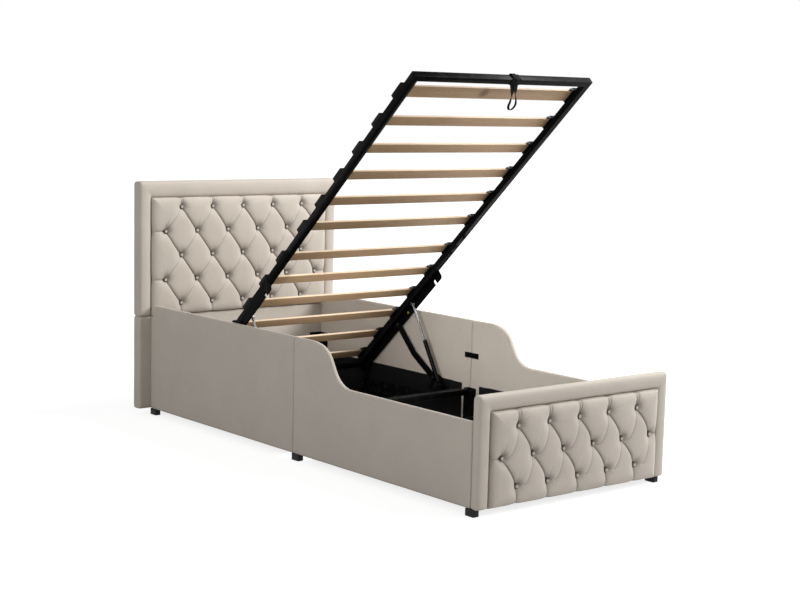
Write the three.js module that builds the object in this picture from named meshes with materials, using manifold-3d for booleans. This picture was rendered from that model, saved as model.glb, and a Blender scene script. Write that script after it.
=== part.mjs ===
// Ottoman bed: an upholstered single bed whose slatted lift frame is raised on a gas strut linkage.
// Millimetres, +Z up, foot of the bed towards -Y, head towards +Y, origin on the floor under the middle.

import * as THREE from 'three';
import { mergeVertices } from 'three/addons/utils/BufferGeometryUtils.js';
import Module from 'manifold-3d';

const wasm = await Module();
wasm.setup();

// Fits and small values shared by all pieces
const seatGap = 0.3;
const pinClearance = 0.3;
const cutOverrun = 1;
const joinOverlap = 0.5;
const mergeTolerance = 0.001;
const roundSteps = 6;
const circleSteps = 16;

// Overall bed, with Y measured from the front of the footboard border
const underside = 28;
const footboardThickness = 34;
const footboardTop = 422;
const headboardOverhang = 55;
const headboardThickness = 55;
const headboardTop = 1020;
const headboardSplit = 436;

// Upholstered borders round the tufted pads
const borderCorner = 14;
const borderRound = 9;
const recessDepth = 14;
const footBorderSide = 54;
const footBorderTop = 57;
const headBorderSide = 58;
const headBorderTop = 69;

// Tufted pads, with stands measured forwards from the border front
const padGap = 3;
const padEdgeRound = 16;
const padEdgeSink = 4;
const creaseStand = 7;
const puffStand = 17;
const footButtonMargin = 43;
const footButtonRow = 106.5;
const footTopButtonDrop = 116;
const footButtonRows = 3;
const headButtonMargin = 62.75;
const headButtonRow = 105.5;
const headTopButtonDrop = 112;
const headButtonRows = 5;
const longRowButtons = 6;
const pitchSteps = 8;
const rowSteps = 4;

// Side rails, each in a head half and a foot half
const railThickness = 20;
const railHighTop = 485;
const railLowTop = 331;
const footRailLength = 1033;
const headRailLength = 1067;
const railRound = 6;
const shoulderSetback = 107;
const shoulderEaseRadius = 240;
const shoulderEaseTurn = 15;
const shoulderRadius = 105;
const shoulderSteepness = 59;
const sweepRadius = 112;
const battenWidth = 20;
const battenHeight = 20;
const battenInset = 40;

// Legs under the rails
const legLength = 45;
const legWidth = 25;
const legInset = 5;
const legFootInset = 18;
const legHeadOverhang = 8;

// Steel that joins the rail halves and the headboard
const supportOffset = 12;
const postLength = 50;
const postDepth = 25;
const postBottom = 30;
const postTop = 198;
const tubeWall = 1.5;
const crossTubeSize = 25;
const seamPlateOffset = 5;
const seamPlateLength = 85;
const seamPlateHeight = 23;
const seamPlateBottom = 324;
const seamPlateThickness = 2;
const screwRadius = 4;
const screwHeight = 1;
const cornerBracketLeg = 60;
const cornerBracketHeight = 70;
const cornerBracketBottom = 230;
const cornerBracketThickness = 2.5;

// Storage boxes
const boxTop = 211;
const boxHeadSeamWallTop = 187;
const boxFootSeamWallTop = 86;
const boxWall = 1.5;
const boxFloor = 3;
const boxGapFootSide = 58;
const boxGapHeadSide = 52;
const boxEndGap = 8;

// Lift frame, in its own plane: S runs from foot to head, N is normal to the slats
const frameTilt = 43;
const frameOriginReach = 572;
const frameOriginZ = 1437.7;
const frameWidth = 880;
const frameSideGap = 10;
const frameFootEnd = -86;
const frameHeadEnd = 1821;
const frameJoint = 916;
const frameTube = 25;
const frameTubeWall = 1.5;
const frameTubeJointGap = 1;
const jointSleeveLength = 160;
const jointSleeveWall = 2;
const jointBoltSpacing = 109;
const jointBoltRadius = 3.5;
const jointBoltHeadRadius = 6.5;
const jointBoltHeadHeight = 4.5;

// Slats and their holders
const slatWidth = 48;
const firstSlatWidth = 56;
const slatThickness = 10;
const slatLift = 2;
const slatEndGap = 10;
const slatChamfer = 1.5;
const firstSlatStart = -7;
const secondSlatStart = 152.5;
const lastFootSlatSetback = 155.5;
const firstHeadSlatSetback = 35;
const lastSlatSetback = 100;
const slatsInHalf = 6;
const holderMargin = 6;
const holderReach = 28;
const holderWall = 2.5;

// Pull strap
const strapHitchWidth = 51;
const strapNeckWidth = 26;
const strapThickness = 2;
const strapEdge = 4;
const strapOffset = 44;
const strapDrop = 103;
const strapLoopTop = 56;
const strapLoopWidth = 50;

// Linkage pivots: on the lift frame as S and N, on the base as setbacks from the rail seam and heights
const frontPivotS = 1464;
const frontPivotN = -41;
const rearPivotS = 1725;
const rearPivotN = -47;
const strutPivotS = 1308;
const strutPivotN = -41;
const frontBaseSetback = 223.7;
const frontBaseHeight = 208.6;
const rearBaseSetback = 713.6;
const rearBaseHeight = 101.6;
const strutBaseSetback = 162;
const strutBaseHeight = 182;

// Linkage plates and arms, from the rail inwards
const basePlateThickness = 2.5;
const basePlateEnd = 28;
const basePlateBottom = 86;
const basePlateWaist = 140;
const basePlateLobe = 23;
const basePlateFlange = 24;
const upperPlateStart = 1096;
const upperPlateThickness = 3;
const upperPlateLow = 59;
const upperPlateHigh = 3;
const upperPlateCorner = 14;
const upperNotchS = 1145.7;
const upperNotchN = -44.2;
const upperNotchRadius = 7.5;
const armThickness = 5;
const armGap = 2.3;
const frontArmWidth = 28;
const frontArmBend = 18;
const rearArmWidth = 18;
const pivotPinRadius = 5;
const pivotHeadRadius = 8;
const pivotHeadHeight = 3;

// Gas struts
const strutInset = 20;
const strutRadius = 9;
const strutBoreClearance = 0.5;
const strutLength = 214;
const strutNeck = 14;
const strutNeckRadius = 5;
const rodRadius = 4.5;
const rodOverlap = 16;
const strutEyeRadius = 8;
const rodEyeRadius = 6;
const strutEyeWidth = 14;
const strutStudRadius = 4;

// Places worked out from the sizes above
const railSeam = footboardThickness + footRailLength;
const headboardFront = railSeam + headRailLength;
const frameOuter = frameWidth / 2;
const frameInner = frameOuter - frameTube;
const slatLength = frameWidth - 2 * slatEndGap;
const lastFootSlatStart = frameJoint - lastFootSlatSetback;
const footSlatPitch = (lastFootSlatStart - secondSlatStart) / (slatsInHalf - 2);
const firstHeadSlatStart = frameJoint + firstHeadSlatSetback;
const headSlatPitch = (frameHeadEnd - lastSlatSetback - firstHeadSlatStart) / (slatsInHalf - 1);
const railInner = frameOuter + frameSideGap;
const railOuter = railInner + railThickness;
const footboardWidth = 2 * railOuter;
const headboardWidth = footboardWidth + 2 * headboardOverhang;
const railStart = footboardThickness + seatGap;
const railEnd = headboardFront - seatGap;
const shoulderStart = railSeam - shoulderSetback;
const supportMiddle = railSeam - supportOffset;
const frameOriginY = railSeam - frameOriginReach;
const frontBasePivot = new THREE.Vector2(railSeam + frontBaseSetback, frontBaseHeight);
const rearBasePivot = new THREE.Vector2(railSeam + rearBaseSetback, rearBaseHeight);
const strutBasePivot = new THREE.Vector2(railSeam + strutBaseSetback, strutBaseHeight);
const basePlateOuter = railInner - seatGap - boxWall - seatGap;
const basePlateInner = basePlateOuter - basePlateThickness;
const upperPlateInner = frameOuter + seatGap;
const upperPlateOuter = upperPlateInner + upperPlateThickness;
const armOuter = upperPlateInner - armGap;
const armInner = armOuter - armThickness;
const strutCentre = frameOuter - strutInset;
const padFront = -puffStand;
const footPadHalf = footboardWidth / 2 - footBorderSide - padGap;
const headPadHalf = headboardWidth / 2 - headBorderSide - padGap;
const footButtonPitch = (2 * (footPadHalf - footButtonMargin)) / (longRowButtons - 1);
const headButtonPitch = (2 * (headPadHalf - headButtonMargin)) / (longRowButtons - 1);
const bedBack = headboardFront + headboardThickness;
const bedMiddle = (bedBack + padFront) / 2;
const tilt = THREE.MathUtils.degToRad(frameTilt);

// Materials
const fabric = new THREE.MeshStandardMaterial({ color: 0xb3a99c, roughness: 0.9, metalness: 0 });
const blackSteel = new THREE.MeshStandardMaterial({ color: 0x161618, roughness: 0.45, metalness: 0.6 });
const slatWood = new THREE.MeshStandardMaterial({ color: 0xc9a883, roughness: 0.65, metalness: 0 });
const boxCloth = new THREE.MeshStandardMaterial({ color: 0x0d0d0f, roughness: 0.95, metalness: 0 });
const blackPlastic = new THREE.MeshStandardMaterial({ color: 0x101012, roughness: 0.6, metalness: 0 });
const webbing = new THREE.MeshStandardMaterial({ color: 0x0f0f11, roughness: 0.9, metalness: 0 });
const brightSteel = new THREE.MeshStandardMaterial({ color: 0xb9bbbe, roughness: 0.25, metalness: 1 });

const bed = new THREE.Group();
bed.position.y = -bedMiddle;

const liftFrame = new THREE.Group();
liftFrame.position.set(0, frameOriginY, frameOriginZ);
liftFrame.rotation.x = -tilt;
bed.add(liftFrame);

// Geometry helpers

function addPiece(parent, name, geometry, material) {
  const mesh = new THREE.Mesh(geometry, material);
  mesh.name = name;
  parent.add(mesh);
}

function toSolid(geometry) {
  const plain = geometry.clone();
  plain.deleteAttribute('normal');
  plain.deleteAttribute('uv');
  const merged = mergeVertices(plain, mergeTolerance);
  const vertProperties = new Float32Array(merged.attributes.position.array);
  const triVerts = new Uint32Array(merged.index.array);
  return new wasm.Manifold(new wasm.Mesh({ numProp: 3, vertProperties, triVerts }));
}

function toGeometry(solid) {
  const { vertProperties, triVerts } = solid.getMesh();
  const geometry = new THREE.BufferGeometry();
  geometry.setAttribute('position', new THREE.BufferAttribute(vertProperties, 3));
  geometry.setIndex(new THREE.BufferAttribute(triVerts, 1));
  return geometry;
}

function joined(geometries) {
  const solids = geometries.map(toSolid);
  return toGeometry(solids.reduce((whole, next) => whole.add(next)));
}

function cut(geometry, tools) {
  return toGeometry(tools.map(toSolid).reduce((whole, tool) => whole.subtract(tool), toSolid(geometry)));
}

function mirrored(geometry) {
  const plain = geometry.clone();
  plain.deleteAttribute('normal');
  plain.deleteAttribute('uv');
  const copy = mergeVertices(plain, mergeTolerance);
  copy.scale(-1, 1, 1);
  const index = copy.index.array;
  for (let i = 0; i < index.length; i += 3) {
    [index[i], index[i + 1]] = [index[i + 1], index[i]];
  }
  return copy;
}

function addBothSides(parent, name, rightGeometry, material) {
  addPiece(parent, `${name}_right`, rightGeometry, material);
  addPiece(parent, `${name}_left`, mirrored(rightGeometry), material);
}

function block(x, y, z) {
  const geometry = new THREE.BoxGeometry(x[1] - x[0], y[1] - y[0], z[1] - z[0]);
  geometry.translate((x[0] + x[1]) / 2, (y[0] + y[1]) / 2, (z[0] + z[1]) / 2);
  return geometry;
}

// An outline drawn in Y and Z, extruded from xInner to xOuter
function sidePlate(outline, xInner, xOuter, round = 0) {
  const options = {
    depth: xOuter - xInner - 2 * round,
    bevelEnabled: round > 0,
    bevelThickness: round,
    bevelSize: round,
    bevelOffset: -round,
    bevelSegments: 3,
    curveSegments: roundSteps,
  };
  const geometry = new THREE.ExtrudeGeometry(outline, options);
  const axes = new THREE.Matrix4().makeBasis(
    new THREE.Vector3(0, 1, 0),
    new THREE.Vector3(0, 0, 1),
    new THREE.Vector3(1, 0, 0),
  );
  geometry.applyMatrix4(axes);
  geometry.translate(xInner + round, 0, 0);
  return geometry;
}

// An outline drawn in X and Z, extruded from yBack forwards to yFront
function frontPanel(outline, yFront, yBack, round = 0) {
  const options = {
    depth: yBack - yFront - 2 * round,
    bevelEnabled: round > 0,
    bevelThickness: round,
    bevelSize: round,
    bevelOffset: -round,
    bevelSegments: 3,
    curveSegments: roundSteps,
  };
  const geometry = new THREE.ExtrudeGeometry(outline, options);
  const axes = new THREE.Matrix4().makeBasis(
    new THREE.Vector3(1, 0, 0),
    new THREE.Vector3(0, 0, 1),
    new THREE.Vector3(0, -1, 0),
  );
  geometry.applyMatrix4(axes);
  geometry.translate(0, yBack - round, 0);
  return geometry;
}

function roundTopRectangle(halfWidth, bottom, top, corner) {
  const shape = new THREE.Shape();
  shape.moveTo(-halfWidth, bottom);
  shape.lineTo(halfWidth, bottom);
  shape.lineTo(halfWidth, top - corner);
  shape.absarc(halfWidth - corner, top - corner, corner, 0, Math.PI / 2);
  shape.absarc(corner - halfWidth, top - corner, corner, Math.PI / 2, Math.PI);
  return shape;
}

function rectangle(left, right, bottom, top) {
  const shape = new THREE.Shape();
  shape.moveTo(left, bottom);
  shape.lineTo(right, bottom);
  shape.lineTo(right, top);
  shape.lineTo(left, top);
  return shape;
}

function roundHole(centre, radius) {
  return new THREE.Path().absarc(centre.x, centre.y, radius, 0, 2 * Math.PI, true);
}

// A cylinder along X between two X values, centred on a point given in Y and Z
function crossPin(centre, radius, xStart, xEnd) {
  const geometry = new THREE.CylinderGeometry(radius, radius, xEnd - xStart, circleSteps);
  geometry.rotateZ(Math.PI / 2);
  geometry.translate((xStart + xEnd) / 2, centre.x, centre.y);
  return geometry;
}

// A cylinder along Z, or along N on the lift frame
function uprightPin(x, y, radius, low, high) {
  const geometry = new THREE.CylinderGeometry(radius, radius, high - low, circleSteps);
  geometry.rotateX(Math.PI / 2);
  geometry.translate(x, y, (low + high) / 2);
  return geometry;
}

// A flat bar outline with round ends that follows a line of points
function barOutline(points, halfWidth) {
  const left = [];
  const right = [];
  for (let i = 1; i < points.length - 1; i += 1) {
    const before = points[i].clone().sub(points[i - 1]).normalize();
    const after = points[i + 1].clone().sub(points[i]).normalize();
    const mitre = before.clone().add(after).normalize();
    const normal = new THREE.Vector2(-mitre.y, mitre.x);
    const reach = halfWidth / normal.dot(new THREE.Vector2(-before.y, before.x));
    left.push(points[i].clone().addScaledVector(normal, reach));
    right.push(points[i].clone().addScaledVector(normal, -reach));
  }
  const last = points.length - 1;
  const startAngle = points[1].clone().sub(points[0]).angle();
  const endAngle = points[last].clone().sub(points[last - 1]).angle();
  const quarter = Math.PI / 2;
  const shape = new THREE.Shape();
  shape.absarc(points[0].x, points[0].y, halfWidth, startAngle + quarter, startAngle + 3 * quarter);
  right.forEach((point) => shape.lineTo(point.x, point.y));
  shape.absarc(points[last].x, points[last].y, halfWidth, endAngle - quarter, endAngle + quarter);
  left.reverse().forEach((point) => shape.lineTo(point.x, point.y));
  return shape;
}

// Turns a place on the lift frame, given as S and N, into Y and Z at the raised position
function raised(s, n) {
  return new THREE.Vector2(
    frameOriginY + s * Math.cos(tilt) + n * Math.sin(tilt),
    frameOriginZ - s * Math.sin(tilt) + n * Math.cos(tilt),
  );
}

// Tufted pads

function gridLines(low, high, origin, step) {
  const lines = [low, low + padEdgeRound / 2];
  const first = Math.ceil((low + padEdgeRound - origin) / step);
  for (let k = first; origin + k * step < high - padEdgeRound; k += 1) {
    lines.push(origin + k * step);
  }
  lines.push(high - padEdgeRound / 2, high);
  return lines;
}

// Share of the full puff at a place: 0 in a crease, 1 in the middle of a diamond
function puffShare(x, drop, pad) {
  const lastRow = (pad.rows - 1) * pad.row;
  const outer = ((longRowButtons - 1) / 2) * pad.pitch;
  const beside = Math.abs(x) > outer;
  const beyond = drop < 0 || drop > lastRow;
  if (beside && beyond) {
    return 1;
  }
  if (beside) {
    return Math.abs(Math.cos((Math.PI * drop) / (2 * pad.row)));
  }
  if (beyond) {
    return Math.abs(Math.sin((Math.PI * x) / pad.pitch));
  }
  const along = x / pad.pitch + drop / (2 * pad.row);
  const across = x / pad.pitch - drop / (2 * pad.row);
  return Math.sqrt(Math.abs(Math.sin(Math.PI * along) * Math.sin(Math.PI * across)));
}

function padFrontDepth(x, z, pad) {
  const edge = Math.min(pad.halfWidth - Math.abs(x), pad.top - z, z - pad.bottom);
  const rollShare = Math.min(1, edge / padEdgeRound);
  const roll = Math.sqrt(1 - (1 - rollShare) ** 2);
  const stand = creaseStand + (puffStand - creaseStand) * puffShare(x, pad.topRow - z, pad);
  return pad.front + padEdgeSink - (padEdgeSink + stand) * roll;
}

function tuftedPad(pad) {
  const xs = gridLines(-pad.halfWidth, pad.halfWidth, 0, pad.pitch / pitchSteps);
  const zs = gridLines(pad.bottom, pad.top, pad.topRow, pad.row / rowSteps);
  const back = pad.front + recessDepth - seatGap;
  const positions = [];
  const faces = [];
  zs.forEach((z) => xs.forEach((x) => positions.push(x, padFrontDepth(x, z, pad), z)));
  const at = (column, row) => row * xs.length + column;
  for (let row = 0; row < zs.length - 1; row += 1) {
    for (let column = 0; column < xs.length - 1; column += 1) {
      const corners = [at(column, row), at(column + 1, row), at(column + 1, row + 1), at(column, row + 1)];
      const x = (xs[column] + xs[column + 1]) / 2 / pad.pitch;
      const drop = (pad.topRow - (zs[row] + zs[row + 1]) / 2) / (2 * pad.row);
      const nearAlong = Math.abs(Math.sin(Math.PI * (x + drop)));
      const nearAcross = Math.abs(Math.sin(Math.PI * (x - drop)));
      const turn = nearAlong < nearAcross ? 0 : 1;
      const [a, b, c, d] = [0, 1, 2, 3].map((i) => corners[(i + turn) % 4]);
      faces.push(a, b, c, a, c, d);
    }
  }
  const rim = [];
  for (let column = 0; column < xs.length - 1; column += 1) rim.push(at(column, 0));
  for (let row = 0; row < zs.length - 1; row += 1) rim.push(at(xs.length - 1, row));
  for (let column = xs.length - 1; column > 0; column -= 1) rim.push(at(column, zs.length - 1));
  for (let row = zs.length - 1; row > 0; row -= 1) rim.push(at(0, row));
  const firstBack = positions.length / 3;
  rim.forEach((i) => positions.push(positions[3 * i], back, positions[3 * i + 2]));
  const hub = positions.length / 3;
  positions.push(0, back, (pad.bottom + pad.top) / 2);
  rim.forEach((frontHere, i) => {
    const next = (i + 1) % rim.length;
    const frontNext = rim[next];
    faces.push(frontHere, firstBack + i, frontNext);
    faces.push(frontNext, firstBack + i, firstBack + next);
    faces.push(firstBack + next, firstBack + i, hub);
  });
  const geometry = new THREE.BufferGeometry();
  geometry.setAttribute('position', new THREE.Float32BufferAttribute(positions, 3));
  geometry.setIndex(faces);
  return geometry;
}

// Headboard and footboard

// A padded board with a border along its sides and top, standing round a recess for the pad
function borderedBoard(board) {
  const { halfWidth, bottom, top } = board;
  const outline = roundTopRectangle(halfWidth, bottom, top, borderCorner);
  const slab = frontPanel(outline, board.front + recessDepth, board.back, borderRound);
  const inner = halfWidth - board.borderSide;
  const cornerX = halfWidth - borderCorner;
  const cornerZ = top - borderCorner;
  const borderOutline = new THREE.Shape();
  borderOutline.moveTo(-halfWidth, bottom);
  borderOutline.lineTo(-inner, bottom);
  borderOutline.lineTo(-inner, top - board.borderTop);
  borderOutline.lineTo(inner, top - board.borderTop);
  borderOutline.lineTo(inner, bottom);
  borderOutline.lineTo(halfWidth, bottom);
  borderOutline.lineTo(halfWidth, cornerZ);
  borderOutline.absarc(cornerX, cornerZ, borderCorner, 0, Math.PI / 2);
  borderOutline.absarc(-cornerX, cornerZ, borderCorner, Math.PI / 2, Math.PI);
  const border = frontPanel(borderOutline, board.front, board.back - borderRound, borderRound);
  return joined([slab, border]);
}

function makeFootboard() {
  const board = {
    halfWidth: footboardWidth / 2,
    bottom: underside,
    top: footboardTop,
    front: 0,
    back: footboardThickness,
    borderSide: footBorderSide,
    borderTop: footBorderTop,
  };
  addPiece(bed, 'footboard_panel', borderedBoard(board), fabric);
  const pad = {
    front: board.front,
    halfWidth: board.halfWidth - footBorderSide - padGap,
    bottom: board.bottom,
    top: board.top - footBorderTop - padGap,
    topRow: board.top - footTopButtonDrop,
    pitch: footButtonPitch,
    row: footButtonRow,
    rows: footButtonRows,
  };
  addPiece(bed, 'footboard_tufted_pad', tuftedPad(pad), fabric);
}

function makeHeadboard() {
  const board = {
    halfWidth: headboardWidth / 2,
    bottom: headboardSplit + seatGap,
    top: headboardTop,
    front: headboardFront,
    back: bedBack,
    borderSide: headBorderSide,
    borderTop: headBorderTop,
  };
  addPiece(bed, 'headboard_panel', borderedBoard(board), fabric);
  const pad = {
    front: board.front,
    halfWidth: board.halfWidth - headBorderSide - padGap,
    bottom: board.bottom,
    top: board.top - headBorderTop - padGap,
    topRow: board.top - headTopButtonDrop,
    pitch: headButtonPitch,
    row: headButtonRow,
    rows: headButtonRows,
  };
  addPiece(bed, 'headboard_tufted_pad', tuftedPad(pad), fabric);
  const lower = rectangle(-board.halfWidth, board.halfWidth, underside, headboardSplit);
  addPiece(bed, 'headboard_lower_section', frontPanel(lower, board.front, board.back, borderRound), fabric);
}

// Side rails

function footRailOutline() {
  const up = Math.PI / 2;
  const ease = THREE.MathUtils.degToRad(shoulderEaseTurn);
  const steep = THREE.MathUtils.degToRad(shoulderSteepness);
  const easeCentre = new THREE.Vector2(shoulderStart, railHighTop - shoulderEaseRadius);
  const towardsEase = new THREE.Vector2(-Math.sin(ease), Math.cos(ease));
  const shoulderCentre = easeCentre.clone().addScaledVector(towardsEase, shoulderEaseRadius - shoulderRadius);
  const steepTop = shoulderCentre.y + shoulderRadius * Math.cos(steep);
  const steepBottom = railLowTop + sweepRadius * (1 - Math.cos(steep));
  const steepRun = (steepTop - steepBottom) / Math.tan(steep);
  const sweepStart = shoulderCentre.x - (shoulderRadius + sweepRadius) * Math.sin(steep) - steepRun;
  const shape = new THREE.Shape();
  shape.moveTo(railStart, underside);
  shape.lineTo(railSeam - seatGap / 2, underside);
  shape.lineTo(railSeam - seatGap / 2, railHighTop);
  shape.absarc(easeCentre.x, easeCentre.y, shoulderEaseRadius, up, up + ease);
  shape.absarc(shoulderCentre.x, shoulderCentre.y, shoulderRadius, up + ease, up + steep);
  shape.absarc(sweepStart, railLowTop + sweepRadius, sweepRadius, steep - up, -up, true);
  shape.lineTo(railStart, railLowTop);
  return shape;
}

function makeRails() {
  const battenAcross = [railInner - battenWidth, railInner + joinOverlap];
  const battenUp = [underside, underside + battenHeight];
  const battenBetween = (start, end) => block(battenAcross, [start, end], battenUp);
  const postStart = supportMiddle - postLength / 2;
  const postEnd = supportMiddle + postLength / 2;
  const footRail = sidePlate(footRailOutline(), railInner, railOuter, railRound);
  const footBatten = battenBetween(railStart + battenInset, postStart - battenInset);
  addBothSides(bed, 'side_rail_foot_half', joined([footRail, footBatten]), fabric);
  const padNotch = railEnd - puffStand;
  const headOutline = new THREE.Shape();
  headOutline.moveTo(railSeam + seatGap / 2, underside);
  headOutline.lineTo(railEnd, underside);
  headOutline.lineTo(railEnd, headboardSplit);
  headOutline.lineTo(padNotch, headboardSplit);
  headOutline.lineTo(padNotch, railHighTop);
  headOutline.lineTo(railSeam + seatGap / 2, railHighTop);
  const headRail = sidePlate(headOutline, railInner, railOuter, railRound);
  const headBatten = battenBetween(postEnd + battenInset, railEnd - battenInset);
  addBothSides(bed, 'side_rail_head_half', joined([headRail, headBatten]), fabric);
}

// Legs

function makeLegs() {
  const across = [railOuter - legInset - legWidth, railOuter - legInset];
  const starts = {
    foot: legFootInset,
    middle: supportMiddle - legLength / 2,
    head: railEnd + legHeadOverhang - legLength,
  };
  for (const [place, start] of Object.entries(starts)) {
    const leg = block(across, [start, start + legLength], [0, underside - seatGap]);
    addBothSides(bed, `leg_${place}`, leg, blackPlastic);
  }
}

// Steel joining pieces

function makeCentreSupport() {
  const outer = railInner - seatGap;
  const start = supportMiddle - postLength / 2;
  const end = supportMiddle + postLength / 2;
  const post = block([outer - postDepth, outer], [start, end], [postBottom, postTop]);
  const bore = block(
    [outer - postDepth + tubeWall, outer - tubeWall],
    [start + tubeWall, end - tubeWall],
    [postBottom - cutOverrun, postTop + cutOverrun],
  );
  addBothSides(bed, 'centre_post', cut(post, [bore]), blackSteel);

  const reach = outer - postDepth - seatGap;
  const half = crossTubeSize / 2;
  const top = postTop - tubeWall;
  const along = [supportMiddle - half, supportMiddle + half];
  const tube = block([-reach, reach], along, [top - crossTubeSize, top]);
  const hollow = block(
    [-reach - cutOverrun, reach + cutOverrun],
    [along[0] + tubeWall, along[1] - tubeWall],
    [top - crossTubeSize + tubeWall, top - tubeWall],
  );
  addPiece(bed, 'cross_tube', cut(tube, [hollow]), blackSteel);
}

function makeSeamPlates() {
  const outer = railInner - seatGap;
  const inner = outer - seamPlateThickness;
  const start = railSeam - seamPlateOffset - seamPlateLength / 2;
  const middle = seamPlateBottom + seamPlateHeight / 2;
  const plate = block(
    [inner, outer],
    [start, start + seamPlateLength],
    [seamPlateBottom, seamPlateBottom + seamPlateHeight],
  );
  const screws = [1, 3].map((quarters) =>
    crossPin(
      new THREE.Vector2(start + (quarters * seamPlateLength) / 4, middle),
      screwRadius,
      inner - screwHeight,
      inner + joinOverlap,
    ),
  );
  addBothSides(bed, 'rail_seam_plate', joined([plate, ...screws]), blackSteel);
}

function makeCornerBrackets() {
  const outer = railInner - seatGap;
  const back = headboardFront - seatGap;
  const height = [cornerBracketBottom, cornerBracketBottom + cornerBracketHeight];
  const onRail = block([outer - cornerBracketThickness, outer], [back - cornerBracketLeg, back], height);
  const onHeadboard = block([outer - cornerBracketLeg, outer], [back - cornerBracketThickness, back], height);
  addBothSides(bed, 'headboard_corner_bracket', joined([onRail, onHeadboard]), blackSteel);
}

// Storage boxes

// A tray whose wall beside the rail seam ends lower than the others
function storageBox(start, end, seamWall, seamWallTop) {
  const half = railInner - seatGap;
  const bottom = underside + battenHeight + seatGap;
  const tray = block([-half, half], [start, end], [bottom, boxTop]);
  const inside = block(
    [boxWall - half, half - boxWall],
    [start + boxWall, end - boxWall],
    [bottom + boxFloor, boxTop + cutOverrun],
  );
  const aboveSeamWall = block(
    [boxWall - half, half - boxWall],
    [seamWall - boxWall - cutOverrun, seamWall + boxWall + cutOverrun],
    [seamWallTop, boxTop + cutOverrun],
  );
  return cut(tray, [inside, aboveSeamWall]);
}

function makeStorageBoxes() {
  const footEnd = railSeam - boxGapFootSide;
  const headStart = railSeam + boxGapHeadSide;
  const footBox = storageBox(railStart + boxEndGap, footEnd, footEnd, boxFootSeamWallTop);
  const headBox = storageBox(headStart, railEnd - boxEndGap, headStart, boxHeadSeamWallTop);
  addPiece(bed, 'storage_box_foot', footBox, boxCloth);
  addPiece(bed, 'storage_box_head', headBox, boxCloth);
}

// Lift frame: in this group X is across the bed, Y is S and Z is N

function slatPlaces() {
  const places = [{ start: firstSlatStart, width: firstSlatWidth }];
  for (let i = 0; i < slatsInHalf - 1; i += 1) {
    places.push({ start: secondSlatStart + i * footSlatPitch, width: slatWidth });
  }
  for (let i = 0; i < slatsInHalf; i += 1) {
    places.push({ start: firstHeadSlatStart + i * headSlatPitch, width: slatWidth });
  }
  return places;
}

function slatHolder(place) {
  const along = [place.start - holderMargin, place.start + place.width + holderMargin];
  const across = [frameOuter - holderReach, frameOuter];
  const height = slatLift + slatThickness + seatGap + holderWall;
  const body = block(across, along, [-joinOverlap, height]);
  const slot = block(
    [across[0] - cutOverrun, slatLength / 2 + seatGap],
    [place.start - seatGap, place.start + place.width + seatGap],
    [slatLift - seatGap, slatLift + slatThickness + seatGap],
  );
  return cut(body, [slot]);
}

function jointBoltPlaces() {
  return [frameJoint - jointBoltSpacing / 2, frameJoint + jointBoltSpacing / 2];
}

// One half of the lift frame: two side tubes and an end bar, open at the joint
function halfFrame(endS, jointS, places) {
  const low = Math.min(endS, jointS);
  const high = Math.max(endS, jointS);
  const towardsJoint = Math.sign(jointS - endS);
  const barInside = endS + towardsJoint * frameTube;
  const bar = [Math.min(endS, barInside), Math.max(endS, barInside)];
  const depth = [-frameTube, 0];
  const side = block([frameInner, frameOuter], [low, high], depth);
  const parts = [side, mirrored(side), block([-frameOuter, frameOuter], bar, depth)];
  places.forEach((place) => {
    const holder = slatHolder(place);
    parts.push(holder, mirrored(holder));
  });
  const wallOff = (range) => [range[0] + frameTubeWall, range[1] - frameTubeWall];
  const pastJoint = jointS + towardsJoint * cutOverrun;
  const hollowEnd = endS + towardsJoint * frameTubeWall;
  const hollowRun = [Math.min(pastJoint, hollowEnd), Math.max(pastJoint, hollowEnd)];
  const sideHollow = block(wallOff([frameInner, frameOuter]), hollowRun, wallOff(depth));
  const barHollow = block(wallOff([-frameOuter, frameOuter]), wallOff(bar), wallOff(depth));
  const boltHole = uprightPin(
    frameOuter - frameTube / 2,
    jointBoltPlaces().find((s) => s > low && s < high),
    jointBoltRadius + pinClearance,
    -frameTube - cutOverrun,
    -frameTube + frameTubeWall + cutOverrun,
  );
  const tools = [sideHollow, barHollow, boltHole];
  return cut(joined(parts), [...tools, mirrored(sideHollow), mirrored(boltHole)]);
}

function makeLiftFrame() {
  const places = slatPlaces();
  const halfGap = frameTubeJointGap / 2;
  const footHalf = halfFrame(frameFootEnd, frameJoint - halfGap, places.slice(0, slatsInHalf));
  const headHalf = halfFrame(frameHeadEnd, frameJoint + halfGap, places.slice(slatsInHalf));
  addPiece(liftFrame, 'lift_frame_foot_half', footHalf, blackSteel);
  addPiece(liftFrame, 'lift_frame_head_half', headHalf, blackSteel);
}

// Sleeves inside the side tubes bridge the two halves, each held by two bolts from below
function makeFrameJointSleeves() {
  const middleX = frameOuter - frameTube / 2;
  const middleN = -frameTube / 2;
  const outerHalf = frameTube / 2 - frameTubeWall - seatGap;
  const innerHalf = outerHalf - jointSleeveWall;
  const tubeOf = (half, length) =>
    block(
      [middleX - half, middleX + half],
      [frameJoint - length / 2, frameJoint + length / 2],
      [middleN - half, middleN + half],
    );
  const bore = tubeOf(innerHalf, jointSleeveLength + cutOverrun);
  const sleeve = cut(tubeOf(outerHalf, jointSleeveLength), [bore]);
  const headTop = -frameTube - seatGap;
  const bolts = jointBoltPlaces().flatMap((s) => [
    uprightPin(middleX, s, jointBoltRadius, headTop - joinOverlap, middleN - innerHalf - joinOverlap),
    uprightPin(middleX, s, jointBoltHeadRadius, headTop - jointBoltHeadHeight, headTop),
  ]);
  addBothSides(liftFrame, 'frame_joint_sleeve', joined([sleeve, ...bolts]), blackSteel);
}

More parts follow.
